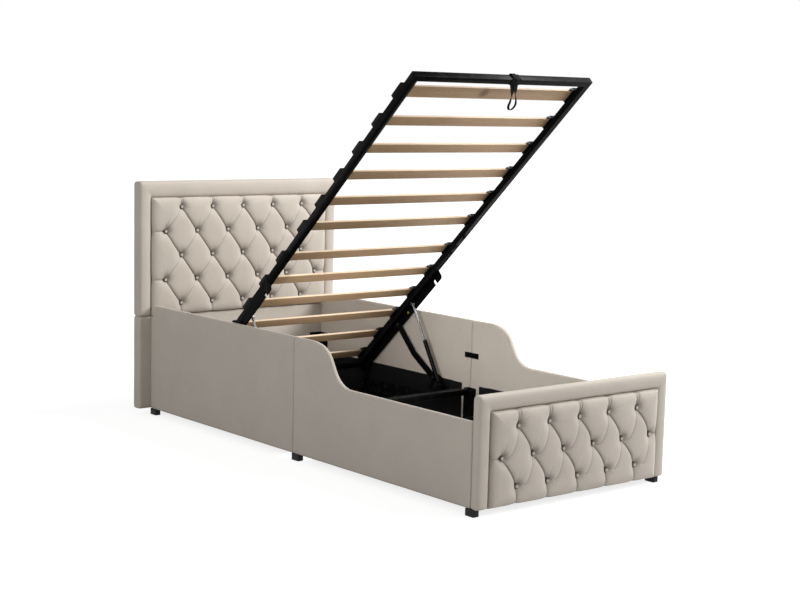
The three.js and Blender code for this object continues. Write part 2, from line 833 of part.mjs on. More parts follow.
function makeSlats() {
  slatPlaces().forEach((place, i) => {
    const end = place.start + place.width;
    const top = slatLift + slatThickness;
    const section = new THREE.Shape();
    section.moveTo(place.start + slatChamfer, slatLift);
    section.lineTo(end - slatChamfer, slatLift);
    section.lineTo(end, slatLift + slatChamfer);
    section.lineTo(end, top - slatChamfer);
    section.lineTo(end - slatChamfer, top);
    section.lineTo(place.start + slatChamfer, top);
    section.lineTo(place.start, top - slatChamfer);
    section.lineTo(place.start, slatLift + slatChamfer);
    addPiece(liftFrame, `slat_${i + 1}`, sidePlate(section, -slatLength / 2, slatLength / 2), slatWood);
  });
}

// Pull strap: a hitch round the foot bar with a loop that hangs straight down at the raised position
function makePullStrap() {
  const barMiddle = new THREE.Vector2(frameFootEnd + frameTube / 2, -frameTube / 2);
  const hole = frameTube / 2 + seatGap;
  const rim = hole + strapThickness;
  const around = (reach) =>
    rectangle(barMiddle.x - reach, barMiddle.x + reach, barMiddle.y - reach, barMiddle.y + reach);
  const band = around(rim);
  band.holes.push(around(hole));
  const hitch = sidePlate(band, strapOffset - strapHitchWidth / 2, strapOffset + strapHitchWidth / 2);

  const neck = strapNeckWidth / 2;
  const outer = strapLoopWidth / 2;
  const inner = outer - strapEdge;
  const arcHeight = outer - strapDrop;
  const loop = new THREE.Shape();
  loop.moveTo(-neck, -frameTube / 2);
  loop.lineTo(-neck, -strapLoopTop);
  loop.lineTo(-outer, arcHeight);
  loop.absarc(0, arcHeight, outer, Math.PI, 2 * Math.PI);
  loop.lineTo(neck, -strapLoopTop);
  loop.lineTo(neck, -frameTube / 2);
  const inside = new THREE.Path();
  inside.moveTo(0, -strapLoopTop);
  inside.lineTo(inner, arcHeight);
  inside.absarc(0, arcHeight, inner, 0, -Math.PI, true);
  loop.holes.push(inside);
  const hanging = frontPanel(loop, -strapThickness, strapThickness);
  hanging.rotateX(tilt);
  hanging.translate(strapOffset, barMiddle.x, barMiddle.y);
  const bar = sidePlate(around(hole), strapOffset - strapHitchWidth, strapOffset + strapHitchWidth);
  addPiece(liftFrame, 'pull_strap', cut(joined([hitch, hanging]), [bar]), webbing);
}

// Linkage between the rails and the lift frame

function baseBracketOutline() {
  const start = strutBasePivot.x - basePlateEnd;
  const end = rearBasePivot.x + basePlateEnd;
  const lobe = basePlateLobe;
  const shape = new THREE.Shape();
  shape.moveTo(start, basePlateBottom);
  shape.lineTo(end, basePlateBottom);
  shape.lineTo(end, rearBasePivot.y);
  shape.absarc(rearBasePivot.x, rearBasePivot.y, basePlateEnd, 0, Math.PI / 2);
  shape.lineTo(rearBasePivot.x - basePlateEnd, rearBasePivot.y + basePlateEnd);
  shape.lineTo(frontBasePivot.x + 3 * lobe, basePlateWaist);
  shape.lineTo(frontBasePivot.x + lobe, frontBasePivot.y - lobe);
  shape.absarc(frontBasePivot.x, frontBasePivot.y, lobe, 0, (3 * Math.PI) / 4);
  shape.absarc(strutBasePivot.x, strutBasePivot.y, basePlateEnd - seatGap, (3 * Math.PI) / 4, Math.PI);
  return shape;
}

function makeBaseBrackets() {
  const outline = baseBracketOutline();
  const boreRadius = pivotPinRadius + pinClearance;
  outline.holes.push(roundHole(frontBasePivot, boreRadius), roundHole(rearBasePivot, boreRadius));
  const plate = sidePlate(outline, basePlateInner, basePlateOuter);
  const flange = block(
    [basePlateOuter - basePlateFlange, basePlateOuter],
    [strutBasePivot.x - basePlateEnd, rearBasePivot.x + basePlateEnd],
    [basePlateBottom - basePlateThickness, basePlateBottom + joinOverlap],
  );
  const studEnd = strutCentre - strutEyeWidth / 2;
  const stud = crossPin(strutBasePivot, strutStudRadius, studEnd, basePlateInner + joinOverlap);
  addBothSides(bed, 'base_bracket', joined([plate, flange, stud]), blackSteel);
}

// The notch lets the front arm's lower pin into the plate when the bed is closed
function makeUpperBrackets() {
  const outline = new THREE.Shape();
  const corner = upperPlateCorner;
  outline.moveTo(upperPlateStart + corner, -upperPlateLow);
  outline.lineTo(upperNotchS - upperNotchRadius, -upperPlateLow);
  outline.lineTo(upperNotchS - upperNotchRadius, upperNotchN);
  outline.absarc(upperNotchS, upperNotchN, upperNotchRadius, Math.PI, 0, true);
  outline.lineTo(upperNotchS + upperNotchRadius, -upperPlateLow);
  outline.lineTo(frameHeadEnd - corner, -upperPlateLow);
  outline.absarc(frameHeadEnd - corner, corner - upperPlateLow, corner, -Math.PI / 2, 0);
  outline.lineTo(frameHeadEnd, -upperPlateHigh);
  outline.lineTo(upperPlateStart, -upperPlateHigh);
  outline.lineTo(upperPlateStart, corner - upperPlateLow);
  outline.absarc(upperPlateStart + corner, corner - upperPlateLow, corner, Math.PI, (3 * Math.PI) / 2);
  outline.holes.push(roundHole(new THREE.Vector2(frontPivotS, frontPivotN), pivotPinRadius + pinClearance));
  const plate = sidePlate(outline, upperPlateInner, upperPlateOuter);
  const strutStud = crossPin(
    new THREE.Vector2(strutPivotS, strutPivotN),
    strutStudRadius,
    strutCentre + strutEyeWidth / 2 + seatGap,
    upperPlateInner + joinOverlap,
  );
  const rearBoss = crossPin(
    new THREE.Vector2(rearPivotS, rearPivotN),
    pivotHeadRadius,
    armOuter + seatGap,
    upperPlateInner + joinOverlap,
  );
  addBothSides(liftFrame, 'upper_bracket', joined([plate, strutStud, rearBoss]), blackSteel);
}

function makeArms() {
  const bore = pivotPinRadius + pinClearance;
  const frontTop = raised(frontPivotS, frontPivotN);
  const middle = frontBasePivot.clone().lerp(frontTop, 1 / 2);
  const along = frontTop.clone().sub(frontBasePivot).normalize();
  middle.add(new THREE.Vector2(along.y, -along.x).multiplyScalar(frontArmBend));
  const frontOutline = barOutline([frontBasePivot, middle, frontTop], frontArmWidth / 2);
  frontOutline.holes.push(roundHole(frontBasePivot, bore), roundHole(frontTop, bore));
  addBothSides(bed, 'front_arm', sidePlate(frontOutline, armInner, armOuter), blackSteel);

  const rearTop = raised(rearPivotS, rearPivotN);
  const rearOutline = barOutline([rearBasePivot, rearTop], rearArmWidth / 2);
  rearOutline.holes.push(roundHole(rearBasePivot, bore), roundHole(rearTop, bore));
  addBothSides(bed, 'rear_arm', sidePlate(rearOutline, armInner, armOuter), blackSteel);
}

function pivotPin(centre, outerEnd) {
  const headOuter = armInner - seatGap;
  const shank = crossPin(centre, pivotPinRadius, headOuter - joinOverlap, outerEnd);
  const head = crossPin(centre, pivotHeadRadius, headOuter - pivotHeadHeight, headOuter);
  return joined([shank, head]);
}

function makePivotPins() {
  const frontTop = raised(frontPivotS, frontPivotN);
  const baseEnd = basePlateOuter - seatGap;
  addBothSides(bed, 'front_lower_pin', pivotPin(frontBasePivot, baseEnd), brightSteel);
  addBothSides(bed, 'rear_lower_pin', pivotPin(rearBasePivot, baseEnd), brightSteel);
  addBothSides(bed, 'front_upper_pin', pivotPin(frontTop, upperPlateOuter - seatGap), brightSteel);
}

// Gas struts, drawn along +Z from the lower pivot and then turned to the raised position

function strutEye(height, radius) {
  const outline = new THREE.Shape();
  outline.absarc(0, height, radius, 0, 2 * Math.PI);
  outline.holes.push(roundHole(new THREE.Vector2(0, height), strutStudRadius + pinClearance));
  return sidePlate(outline, -strutEyeWidth / 2, strutEyeWidth / 2);
}

function turned(profile) {
  const points = profile.map(([radius, height]) => new THREE.Vector2(radius, height));
  return new THREE.LatheGeometry(points, circleSteps).rotateX(Math.PI / 2);
}

function placeStrutPiece(geometry) {
  const top = raised(strutPivotS, strutPivotN);
  const lean = Math.atan2(top.x - strutBasePivot.x, top.y - strutBasePivot.y);
  geometry.rotateX(-lean);
  geometry.translate(strutCentre, strutBasePivot.x, strutBasePivot.y);
  return geometry;
}

function makeStruts() {
  const boreRadius = rodRadius + strutBoreClearance;
  const boreBottom = strutNeck + 2 * strutRadius;
  const studHole = crossPin(
    new THREE.Vector2(0, 0),
    strutStudRadius + pinClearance,
    -strutEyeWidth,
    strutEyeWidth,
  );
  const body = turned([
    [0, 0],
    [strutNeckRadius, 0],
    [strutNeckRadius, strutNeck],
    [strutRadius, strutNeck + strutNeckRadius],
    [strutRadius, strutLength],
    [boreRadius, strutLength],
    [boreRadius, boreBottom],
    [0, boreBottom],
  ]);
  const cylinder = cut(joined([body, strutEye(0, strutEyeRadius)]), [studHole]);
  addBothSides(bed, 'gas_strut_cylinder', placeStrutPiece(cylinder), blackSteel);

  const reach = raised(strutPivotS, strutPivotN).distanceTo(strutBasePivot);
  const rodBottom = strutLength - rodOverlap;
  const shaft = turned([
    [0, rodBottom],
    [rodRadius, rodBottom],
    [rodRadius, reach - strutStudRadius - 2 * pinClearance],
    [0, reach - strutStudRadius - 2 * pinClearance],
  ]);
  const rod = joined([shaft, strutEye(reach, rodEyeRadius)]);
  addBothSides(bed, 'gas_strut_rod', placeStrutPiece(rod), brightSteel);
}

makeFootboard();
makeHeadboard();
makeRails();
makeLegs();
makeCentreSupport();
makeSeamPlates();
makeCornerBrackets();
makeStorageBoxes();
makeLiftFrame();
makeFrameJointSleeves();
makeSlats();
makePullStrap();
makeBaseBrackets();
makeUpperBrackets();
makeArms();
makePivotPins();
makeStruts();

export default bed;
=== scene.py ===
# Ottoman bed: the looks of an upholstered single bed with a raised slatted frame.
# Metres, +Z up, foot of the bed towards -Y, origin on the floor under the middle of the bed.
import math

import bmesh
import bpy
import numpy as np
from mathutils import Matrix, Vector


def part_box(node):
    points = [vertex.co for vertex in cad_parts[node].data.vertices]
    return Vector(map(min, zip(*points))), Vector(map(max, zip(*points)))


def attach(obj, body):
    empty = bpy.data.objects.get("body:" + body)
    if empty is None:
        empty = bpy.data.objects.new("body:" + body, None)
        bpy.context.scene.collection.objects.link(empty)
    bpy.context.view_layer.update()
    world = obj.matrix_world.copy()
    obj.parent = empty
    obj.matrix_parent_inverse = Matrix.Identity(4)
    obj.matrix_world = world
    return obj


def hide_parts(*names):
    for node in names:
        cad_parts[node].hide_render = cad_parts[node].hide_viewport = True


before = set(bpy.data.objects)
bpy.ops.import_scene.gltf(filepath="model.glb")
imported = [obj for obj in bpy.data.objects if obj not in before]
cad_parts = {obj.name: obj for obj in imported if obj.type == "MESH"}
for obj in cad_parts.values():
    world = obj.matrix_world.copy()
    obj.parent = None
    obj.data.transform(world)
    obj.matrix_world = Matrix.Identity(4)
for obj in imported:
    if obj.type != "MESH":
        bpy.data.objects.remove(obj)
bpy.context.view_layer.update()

SIDES = (("right", 1), ("left", -1))
TILT = math.radians(43)
FRAME_Y = -0.591
FRAME_Z = 1.4377
KNOT = (-0.031, -0.5778, 1.4281)
MM = 1000
WELD_GAP = 0.00002


# Node material helpers

def new_material(name, base, roughness, metallic=0.0, specular=0.5):
    """A plain material to build on."""
    mat = bpy.data.materials.new(name)
    mat.use_nodes = True
    shader = mat.node_tree.nodes["Principled BSDF"]
    shader.inputs["Base Color"].default_value = (*base, 1)
    shader.inputs["Roughness"].default_value = roughness
    shader.inputs["Metallic"].default_value = metallic
    shader.inputs["Specular IOR Level"].default_value = specular
    return mat, shader


class Net:
    """Short calls for adding and joining shader nodes."""

    def __init__(self, mat):
        self.nodes = mat.node_tree.nodes
        self.links = mat.node_tree.links
        self.coords = self.nodes.new("ShaderNodeTexCoord").outputs["Object"]

    def link(self, source, target):
        """Sets a socket to a number or joins it to another."""
        if isinstance(source, (int, float)):
            target.default_value = source
        else:
            self.links.new(source, target)

    def math(self, kind, a, b=0.0, clamp=False):
        """A sum, product or other step with two values."""
        node = self.nodes.new("ShaderNodeMath")
        node.operation = kind
        node.use_clamp = clamp
        self.link(a, node.inputs[0])
        self.link(b, node.inputs[1])
        return node.outputs[0]

    def scaled(self, scale):
        """The object coordinates, stretched."""
        node = self.nodes.new("ShaderNodeMapping")
        node.inputs["Scale"].default_value = scale
        self.links.new(self.coords, node.inputs["Vector"])
        return node.outputs["Vector"]

    def noise(self, scale, detail=2.0, rough=0.5, vector=None, distortion=0.0):
        """Cloudy noise."""
        node = self.nodes.new("ShaderNodeTexNoise")
        node.inputs["Scale"].default_value = scale
        node.inputs["Detail"].default_value = detail
        node.inputs["Roughness"].default_value = rough
        node.inputs["Distortion"].default_value = distortion
        self.links.new(vector or self.coords, node.inputs["Vector"])
        return node.outputs["Fac"]

    def waves(self, scale, axis, distortion=0.0, detail=0.0):
        """Fine parallel bands."""
        node = self.nodes.new("ShaderNodeTexWave")
        node.bands_direction = axis
        node.inputs["Scale"].default_value = scale
        node.inputs["Distortion"].default_value = distortion
        node.inputs["Detail"].default_value = detail
        self.links.new(self.coords, node.inputs["Vector"])
        return node.outputs["Fac"]

    def attribute(self, name):
        """A value stored on the mesh."""
        node = self.nodes.new("ShaderNodeAttribute")
        node.attribute_name = name
        return node.outputs["Fac"]

    def part(self, vector, axis):
        """One coordinate of a vector."""
        node = self.nodes.new("ShaderNodeSeparateXYZ")
        self.links.new(vector, node.inputs[0])
        return node.outputs[axis]

    def remap(self, value, low, high, out_low=0.0, out_high=1.0):
        """Spreads one span of values over another."""
        node = self.nodes.new("ShaderNodeMapRange")
        self.link(value, node.inputs["Value"])
        node.inputs["From Min"].default_value = low
        node.inputs["From Max"].default_value = high
        node.inputs["To Min"].default_value = out_low
        node.inputs["To Max"].default_value = out_high
        return node.outputs["Result"]

    def mix(self, factor, a, b):
        """A colour between two others."""
        node = self.nodes.new("ShaderNodeMix")
        node.data_type = "RGBA"
        self.link(factor, node.inputs["Factor"])
        for socket, value in ((node.inputs["A"], a), (node.inputs["B"], b)):
            if isinstance(value, tuple):
                socket.default_value = (*value, 1)
            else:
                self.links.new(value, socket)
        return node.outputs["Result"]

    def bump(self, height, strength, distance, below=None):
        """A fine relief, over another if one is given."""
        node = self.nodes.new("ShaderNodeBump")
        node.inputs["Strength"].default_value = strength
        node.inputs["Distance"].default_value = distance
        self.links.new(height, node.inputs["Height"])
        if below is not None:
            self.links.new(below, node.inputs["Normal"])
        return node.outputs["Normal"]


def fabric_material(name, base, dark, tint, crease_shaded=False):
    """A short pile velvet: fine weave, soft pressed patches and a pale sheen; on tufted pads, painted shade
    in the folds from the mesh's crease values.
    """
    mat, shader = new_material(name, base, 0.86, specular=0.22)
    shader.inputs["Sheen Weight"].default_value = 0.22
    shader.inputs["Sheen Roughness"].default_value = 0.35
    shader.inputs["Sheen Tint"].default_value = (*tint, 1)
    net = Net(mat)
    patches = net.noise(5.0, 3.0, 0.55, distortion=0.6)
    pile = net.noise(900.0, 2.0, 0.6)
    warp = net.waves(430.0, "Z", distortion=0.8, detail=1.0)
    weft = net.waves(430.0, "X", distortion=0.8, detail=1.0)
    depth = net.waves(430.0, "Y", distortion=0.8, detail=1.0)
    weave = net.math("MULTIPLY", net.math("ADD", net.math("ADD", warp, weft), depth), 0.33)
    tone = net.math("ADD", net.math("MULTIPLY", patches, 0.55), net.math("MULTIPLY", pile, 0.45))
    fleck = net.remap(tone, 0.34, 0.66)
    colour = net.mix(fleck, dark, base)
    if crease_shaded:
        # Painted shade: the crease values darken the colour towards a deep brown in the folds, tucks and
        # button pits.
        shade = net.attribute("crease")
        colour = net.mix(shade, colour, tuple(c * 0.14 for c in dark))
    net.links.new(colour, shader.inputs["Base Color"])
    net.links.new(net.remap(patches, 0.3, 0.7, 0.8, 0.92), shader.inputs["Roughness"])
    soft = net.bump(net.noise(9.0, 2.0, 0.5), 0.35, 0.004)
    fine = net.bump(weave, 0.22, 0.0004, soft)
    net.links.new(net.bump(pile, 0.3, 0.0005, fine), shader.inputs["Normal"])
    return mat


def coated_steel(name, base, edge_wear_and_highlight, roughness):
    """Satin powder coat with a fine orange peel and paler edges, partly rubbed wear and partly a painted
    highlight.
    """
    mat, shader = new_material(name, base, roughness, specular=0.028)
    net = Net(mat)
    rub = net.noise(38.0, 4.0, 0.6)
    geometry = net.nodes.new("ShaderNodeNewGeometry").outputs["Pointiness"]
    # Paler sharp edges: partly rubbed wear, partly a painted edge highlight.
    edge = net.math("MULTIPLY", net.remap(geometry, 0.53, 0.62), net.remap(rub, 0.45, 0.7))
    net.links.new(net.mix(edge, base, edge_wear_and_highlight), shader.inputs["Base Color"])
    net.links.new(net.remap(net.noise(14.0, 3.0), 0.3, 0.7, roughness - 0.05, roughness + 0.08),
                  shader.inputs["Roughness"])
    net.links.new(net.bump(net.noise(700.0, 2.0), 0.12, 0.0003), shader.inputs["Normal"])
    return mat


def slat_wood(name):
    """Pale laminated beech: long grain across the bed, rays, a clear lacquer, a painted highlight on the
    faces turned towards the foot of the raised frame, and painted shade towards the slat ends.
    """
    mat, shader = new_material(name, (0.6, 0.4, 0.24), 0.55, specular=0.25)
    shader.inputs["Coat Weight"].default_value = 0.05
    shader.inputs["Coat Roughness"].default_value = 0.35
    net = Net(mat)
    long = net.scaled((1.3, 14.0, 14.0))
    bands = net.noise(7.0, 5.0, 0.62, vector=long, distortion=0.9)
    fine = net.noise(60.0, 4.0, 0.7, vector=net.scaled((0.7, 22.0, 22.0)))
    rays = net.noise(240.0, 1.0, 0.5, vector=net.scaled((0.16, 1.6, 1.6)))
    board = net.noise(3.1, 1.0, vector=net.scaled((0.05, 5.0, 5.0)))
    light, mid, dark = (0.63, 0.43, 0.262), (0.55, 0.355, 0.203), (0.35, 0.205, 0.11)
    colour = net.mix(net.remap(bands, 0.32, 0.68), mid, light)
    colour = net.mix(net.remap(fine, 0.5, 0.78, 0.0, 0.5), colour, dark)
    colour = net.mix(net.remap(rays, 0.62, 0.75, 0.0, 0.35), colour, dark)
    colour = net.mix(net.remap(board, 0.35, 0.65, 0.0, 0.22), colour, (0.5, 0.31, 0.175))
    x = net.part(net.coords, 0)
    # Painted highlight: faces turned towards the foot of the raised frame, where the light catches them, are
    # paler.
    normal = net.nodes.new("ShaderNodeTexCoord").outputs["Normal"]
    facing = net.nodes.new("ShaderNodeVectorMath")
    facing.operation = "DOT_PRODUCT"
    net.links.new(normal, facing.inputs[0])
    facing.inputs[1].default_value = (0, -math.cos(TILT), math.sin(TILT))
    colour = net.mix(net.remap(facing.outputs["Value"], 0.6, 0.9, 0.0, 0.7), colour, (0.74, 0.6, 0.44))
    knot = net.nodes.new("ShaderNodeVectorMath")
    knot.operation = "DISTANCE"
    net.links.new(net.scaled((1, 1, 1)), knot.inputs[0])
    knot.inputs[1].default_value = KNOT
    ring = net.math("SINE", net.math("MULTIPLY", knot.outputs["Value"], 900.0))
    dark_spot = net.remap(knot.outputs["Value"], 0.008, 0.029, 0.75, 0.0)
    colour = net.mix(dark_spot, colour, (0.17, 0.095, 0.05))
    rings = net.remap(knot.outputs["Value"], 0.01, 0.04, 0.3, 0.0)
    colour = net.mix(net.math("MULTIPLY", rings, ring, clamp=True), colour, dark)
    # Painted shade towards the slat ends, by the side tubes and holders.
    colour = net.mix(net.remap(net.math("ABSOLUTE", x), 0.375, 0.412, 0.0, 0.5), colour, (0.2, 0.125, 0.075))
    net.links.new(colour, shader.inputs["Base Color"])
    net.links.new(net.remap(fine, 0.3, 0.7, 0.45, 0.6), shader.inputs["Roughness"])
    net.links.new(net.bump(fine, 0.2, 0.0004), shader.inputs["Normal"])
    return mat


def lining_cloth(name):
    """Black nonwoven cloth with a bonded dimple pattern and faint folds."""
    mat, shader = new_material(name, (0.005, 0.005, 0.006), 0.9, specular=0.1)
    shader.inputs["Sheen Weight"].default_value = 0.04
    shader.inputs["Sheen Roughness"].default_value = 0.6
    net = Net(mat)
    cells = net.nodes.new("ShaderNodeTexVoronoi")
    cells.inputs["Scale"].default_value = 420.0
    net.links.new(net.coords, cells.inputs["Vector"])
    fibres = net.noise(300.0, 3.0, 0.7)
    net.links.new(net.mix(net.remap(fibres, 0.35, 0.65), (0.0012, 0.0012, 0.0014), (0.0038, 0.0038, 0.0042)),
                  shader.inputs["Base Color"])
    folds = net.bump(net.noise(6.0, 3.0, 0.5), 0.5, 0.006)
    net.links.new(net.bump(cells.outputs["Distance"], 0.3, 0.0006, folds), shader.inputs["Normal"])
    return mat


def moulded_plastic(name, base=(0.006, 0.006, 0.0065), roughness=0.5, specular=0.25):
    """Black moulded plastic with a fine grain and paler scuffs."""
    mat, shader = new_material(name, base, roughness, specular=specular)
    net = Net(mat)
    grain = net.noise(520.0, 2.0, 0.6)
    scuff = net.noise(22.0, 4.0, 0.7)
    pale = tuple(min(1.0, c * 2.2 + 0.004) for c in base)
    net.links.new(net.mix(net.remap(scuff, 0.55, 0.8, 0.0, 0.6), base, pale), shader.inputs["Base Color"])
    net.links.new(net.remap(scuff, 0.3, 0.7, roughness - 0.06, roughness + 0.1), shader.inputs["Roughness"])
    net.links.new(net.bump(grain, 0.2, 0.0003), shader.inputs["Normal"])
    return mat


def webbing_cloth(name, lift=1.0):
    """Ribbed woven band; lift makes it paler."""
    low, high = (tuple(lift * c for c in shade) for shade in ((0.003, 0.003, 0.0034), (0.009, 0.009, 0.01)))
    mat, shader = new_material(name, low, 0.82, specular=0.08)
    shader.inputs["Sheen Weight"].default_value = 0.03
    net = Net(mat)
    ribs = net.waves(260.0, "DIAGONAL", distortion=0.3)
    yarn = net.noise(600.0, 2.0)
    net.links.new(net.mix(net.remap(yarn, 0.35, 0.65), low, high), shader.inputs["Base Color"])
    net.links.new(net.bump(net.math("ADD", ribs, yarn), 0.5, 0.0006), shader.inputs["Normal"])
    return mat


def bright_metal(name, base, roughness):
    """Plated metal with fine brush marks along one way."""
    mat, shader = new_material(name, base, roughness, metallic=1.0)
    net = Net(mat)
    brush = net.noise(90.0, 3.0, 0.6, vector=net.scaled((6.0, 1.0, 1.0)))
    net.links.new(net.remap(brush, 0.3, 0.7, roughness - 0.06, roughness + 0.1), shader.inputs["Roughness"])
    net.links.new(net.mix(net.remap(net.noise(40.0, 3.0), 0.4, 0.7), base, tuple(c * 0.8 for c in base)),
                  shader.inputs["Base Color"])
    net.links.new(net.bump(brush, 0.06, 0.0002), shader.inputs["Normal"])
    return mat


VELVET = dict(base=(0.61, 0.553, 0.487), dark=(0.55, 0.495, 0.432), tint=(1.0, 0.96, 0.91))
velvet = fabric_material("velvet", **VELVET)
velvet_tufted = fabric_material("velvet_tufted", crease_shaded=True, **VELVET)
steel = coated_steel("powder_coat", (0.003, 0.003, 0.0032), (0.015, 0.015, 0.016), 0.38)
wood = slat_wood("beech_slat")
lining = lining_cloth("box_lining")
plastic = moulded_plastic("black_plastic")
foot_plastic = moulded_plastic("foot_plastic", roughness=0.6)
webbing = webbing_cloth("webbing")
bright = bright_metal("zinc_steel", base=(0.2, 0.205, 0.21), roughness=0.24)
dark_zinc = bright_metal("dark_zinc", base=(0.04, 0.04, 0.042), roughness=0.45)
gloss_black = moulded_plastic("gloss_black", base=(0.002, 0.002, 0.0021), roughness=0.24, specular=0.1)
# The binding is made much paler than the black boxes, a painted highlight along their top edges.
binding = webbing_cloth("binding", 7.0)
cap_yellow = moulded_plastic("yellow_cap", base=(0.3, 0.34, 0.025), roughness=0.4)


# Mesh helpers

def place(name, mesh, material, body, replaces=()):
    """Adds a piece, gives it its material, and lets it ride on a body."""
    obj = bpy.data.objects.new(name, mesh)
    bpy.context.scene.collection.objects.link(obj)
    mesh.materials.clear()
    mesh.materials.append(material)
    mesh.shade_smooth()
    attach(obj, body)
    if replaces:
        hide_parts(*replaces)
    return obj


def mesh_from(name, points, faces):
    """A mesh from points and faces."""
    mesh = bpy.data.meshes.new(name)
    mesh.from_pydata([tuple(p) for p in points], [], faces)
    mesh.update()
    return mesh


def apply_all(obj):
    """Turns the modifiers of an object into its mesh."""
    graph = bpy.context.evaluated_depsgraph_get()
    mesh = bpy.data.meshes.new_from_object(obj.evaluated_get(graph))
    old = obj.data
    obj.modifiers.clear()
    obj.data = mesh
    bpy.data.meshes.remove(old)


def vertex_array(mesh):
    """The places of a mesh's vertices as an array."""
    values = np.empty(len(mesh.vertices) * 3)
    mesh.vertices.foreach_get("co", values)
    return values.reshape(-1, 3)


def set_vertices(mesh, values):
    """Moves a mesh's vertices to the places in an array."""
    mesh.vertices.foreach_set("co", values.ravel())
    mesh.update()


def wobble(points, length, seed):
    """A smooth field between -1 and 1 made of a few sine waves with a typical wave length."""
    rng = np.random.default_rng(seed)
    total = np.zeros(len(points))
    for _ in range(7):
        direction = rng.normal(size=3)
        direction /= np.linalg.norm(direction)
        rate = 2 * math.pi / (length * rng.uniform(0.7, 1.6))
        total += np.sin(points @ direction * rate + rng.uniform(0, 2 * math.pi))
    return total / 3.5


# Upholstered boards and rails: the boards' outer shapes with foam softened edges

def softened(name, node, voxel, passes, ripple, seed, crown=None, kept=None):
    """A closed, gently eased copy of an upholstered solid with a faint ripple."""
    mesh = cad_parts[node].data.copy()
    obj = place(name, mesh, velvet, "base", replaces=(node,))
    weld = obj.modifiers.new("weld", "WELD")
    weld.merge_threshold = WELD_GAP
    remesh = obj.modifiers.new("remesh", "REMESH")
    remesh.mode = "VOXEL"
    remesh.voxel_size = voxel
    ease = obj.modifiers.new("ease", "SMOOTH")
    ease.factor = 0.5
    ease.iterations = passes
    apply_all(obj)
    mesh = obj.data
    mesh.materials.clear()
    mesh.materials.append(velvet)
    points = vertex_array(mesh)
    normals = np.empty(len(points) * 3)
    mesh.vertices.foreach_get("normal", normals)
    normals = normals.reshape(-1, 3)
    shift = ripple * wobble(points, 0.16, seed)
    if crown is not None:
        shift = shift + crown(points, normals)
    points = points + normals * shift[:, None]
    set_vertices(mesh, points if kept is None else kept(points))
    mesh.shade_smooth()


LEDGE_TOP = 0.0478
LEDGE_CORNER_TOP = 0.058
RAIL_INSIDE = 0.4498


def ledge_kept(points):
    """Keeps the corner above a rail's ledge as sharp as the storage box that stands in it."""
    x, z = np.abs(points[:, 0]), points[:, 2]
    points[(x < RAIL_INSIDE) & (z > LEDGE_TOP) & (z < LEDGE_CORNER_TOP), 2] = LEDGE_TOP
    return points


def border_crown(half, top, side, top_side, front, height):
    """The padding's swell across the border strips, in the middle of each strip."""
    def swell(points, normals):
        x, z = np.abs(points[:, 0]), points[:, 2]
        across_side = (half - x) / side
        across_top = (top - z) / top_side
        share = np.where(across_side < across_top, across_side, across_top)
        share = np.clip(share, 0, 1)
        facing = np.clip(-normals[:, 1], 0, 1) * (points[:, 1] < front + 0.012)
        return height * np.sin(math.pi * share) ** 0.8 * facing
    return swell


MIDDLE = 1.086
FOOT_FRONT = -MIDDLE
HEAD_FRONT = 2.134 - MIDDLE
CLOTH_RIPPLE = 0.0003
CROWN_HEIGHT = 0.006
BORDER_PASSES = 8
PLAIN_PASSES = 6

softened("footboard_border", "footboard_panel", 0.004, BORDER_PASSES, CLOTH_RIPPLE, 3,
         border_crown(0.470, 0.422, 0.054, 0.057, FOOT_FRONT, CROWN_HEIGHT))
softened("headboard_border", "headboard_panel", 0.0045, BORDER_PASSES, CLOTH_RIPPLE, 5,
         border_crown(0.525, 1.020, 0.058, 0.069, HEAD_FRONT, CROWN_HEIGHT))
softened("headboard_lower", "headboard_lower_section", 0.005, PLAIN_PASSES, CLOTH_RIPPLE, 7)
for side, _ in SIDES:
    for end, seed in (("foot", 11), ("head", 13)):
        softened("rail_%s_%s" % (end, side), "side_rail_%s_half_%s" % (end, side), 0.004, PLAIN_PASSES,
                 CLOTH_RIPPLE, seed, kept=ledge_kept)


# Tufted pads, worked out in millimetres

class Pad:
    """A tufted pad: its outline, its rows of buttons, how its folds bend and gather, and how dark the painted
    shade of its lighter fold lines is.
    """

    def __init__(self, name, front, half, bottom, top, first_row, pitch, row, rows,
                 strong, weak, gather, line, seed):
        self.name = name
        self.front = front
        self.half = half
        self.bottom = bottom
        self.top = top
        self.first_row = first_row
        self.pitch = pitch
        self.row = row
        self.rows = rows
        self.strong = strong
        self.weak = weak
        self.gather = gather
        self.line = line
        self.seed = seed
        self.rate = math.hypot(1 / pitch, 1 / (2 * row))

    def buttons(self):
        """X and Z of each button: five and six in turn."""
        places = []
        for i in range(self.rows):
            count = 5 + i % 2
            for k in range(count):
                places.append(((k - (count - 1) / 2) * self.pitch, self.first_row - i * self.row))
        return places


foot_pad = Pad("footboard_pad", 0, 414.3, 28, 363.3, 306, 148, 106.5, 3,
               lambda u: 0.036 + 0.004 * u, lambda u: 0.25 + 0.01 * u, 2.5, 0.08, 21)
head_pad = Pad("headboard_pad", 2134, 465.3, 436.3, 949.3, 908, 160.5, 105.5, 5,
               lambda u: 0.002 + 0.015 * u, lambda u: 0.055 + 0.02 * u, 3.0, 0.24, 22)


def ridge(share, skew):
    """A bump over 0 to 1 that leans to one side."""
    return np.sin(math.pi * np.clip(share, 0, 1) ** skew)


def folded(value):
    """Distance of a number from the nearest whole number, and its part above the whole number below."""
    part = value - np.floor(value)
    return np.minimum(part, 1 - part), part


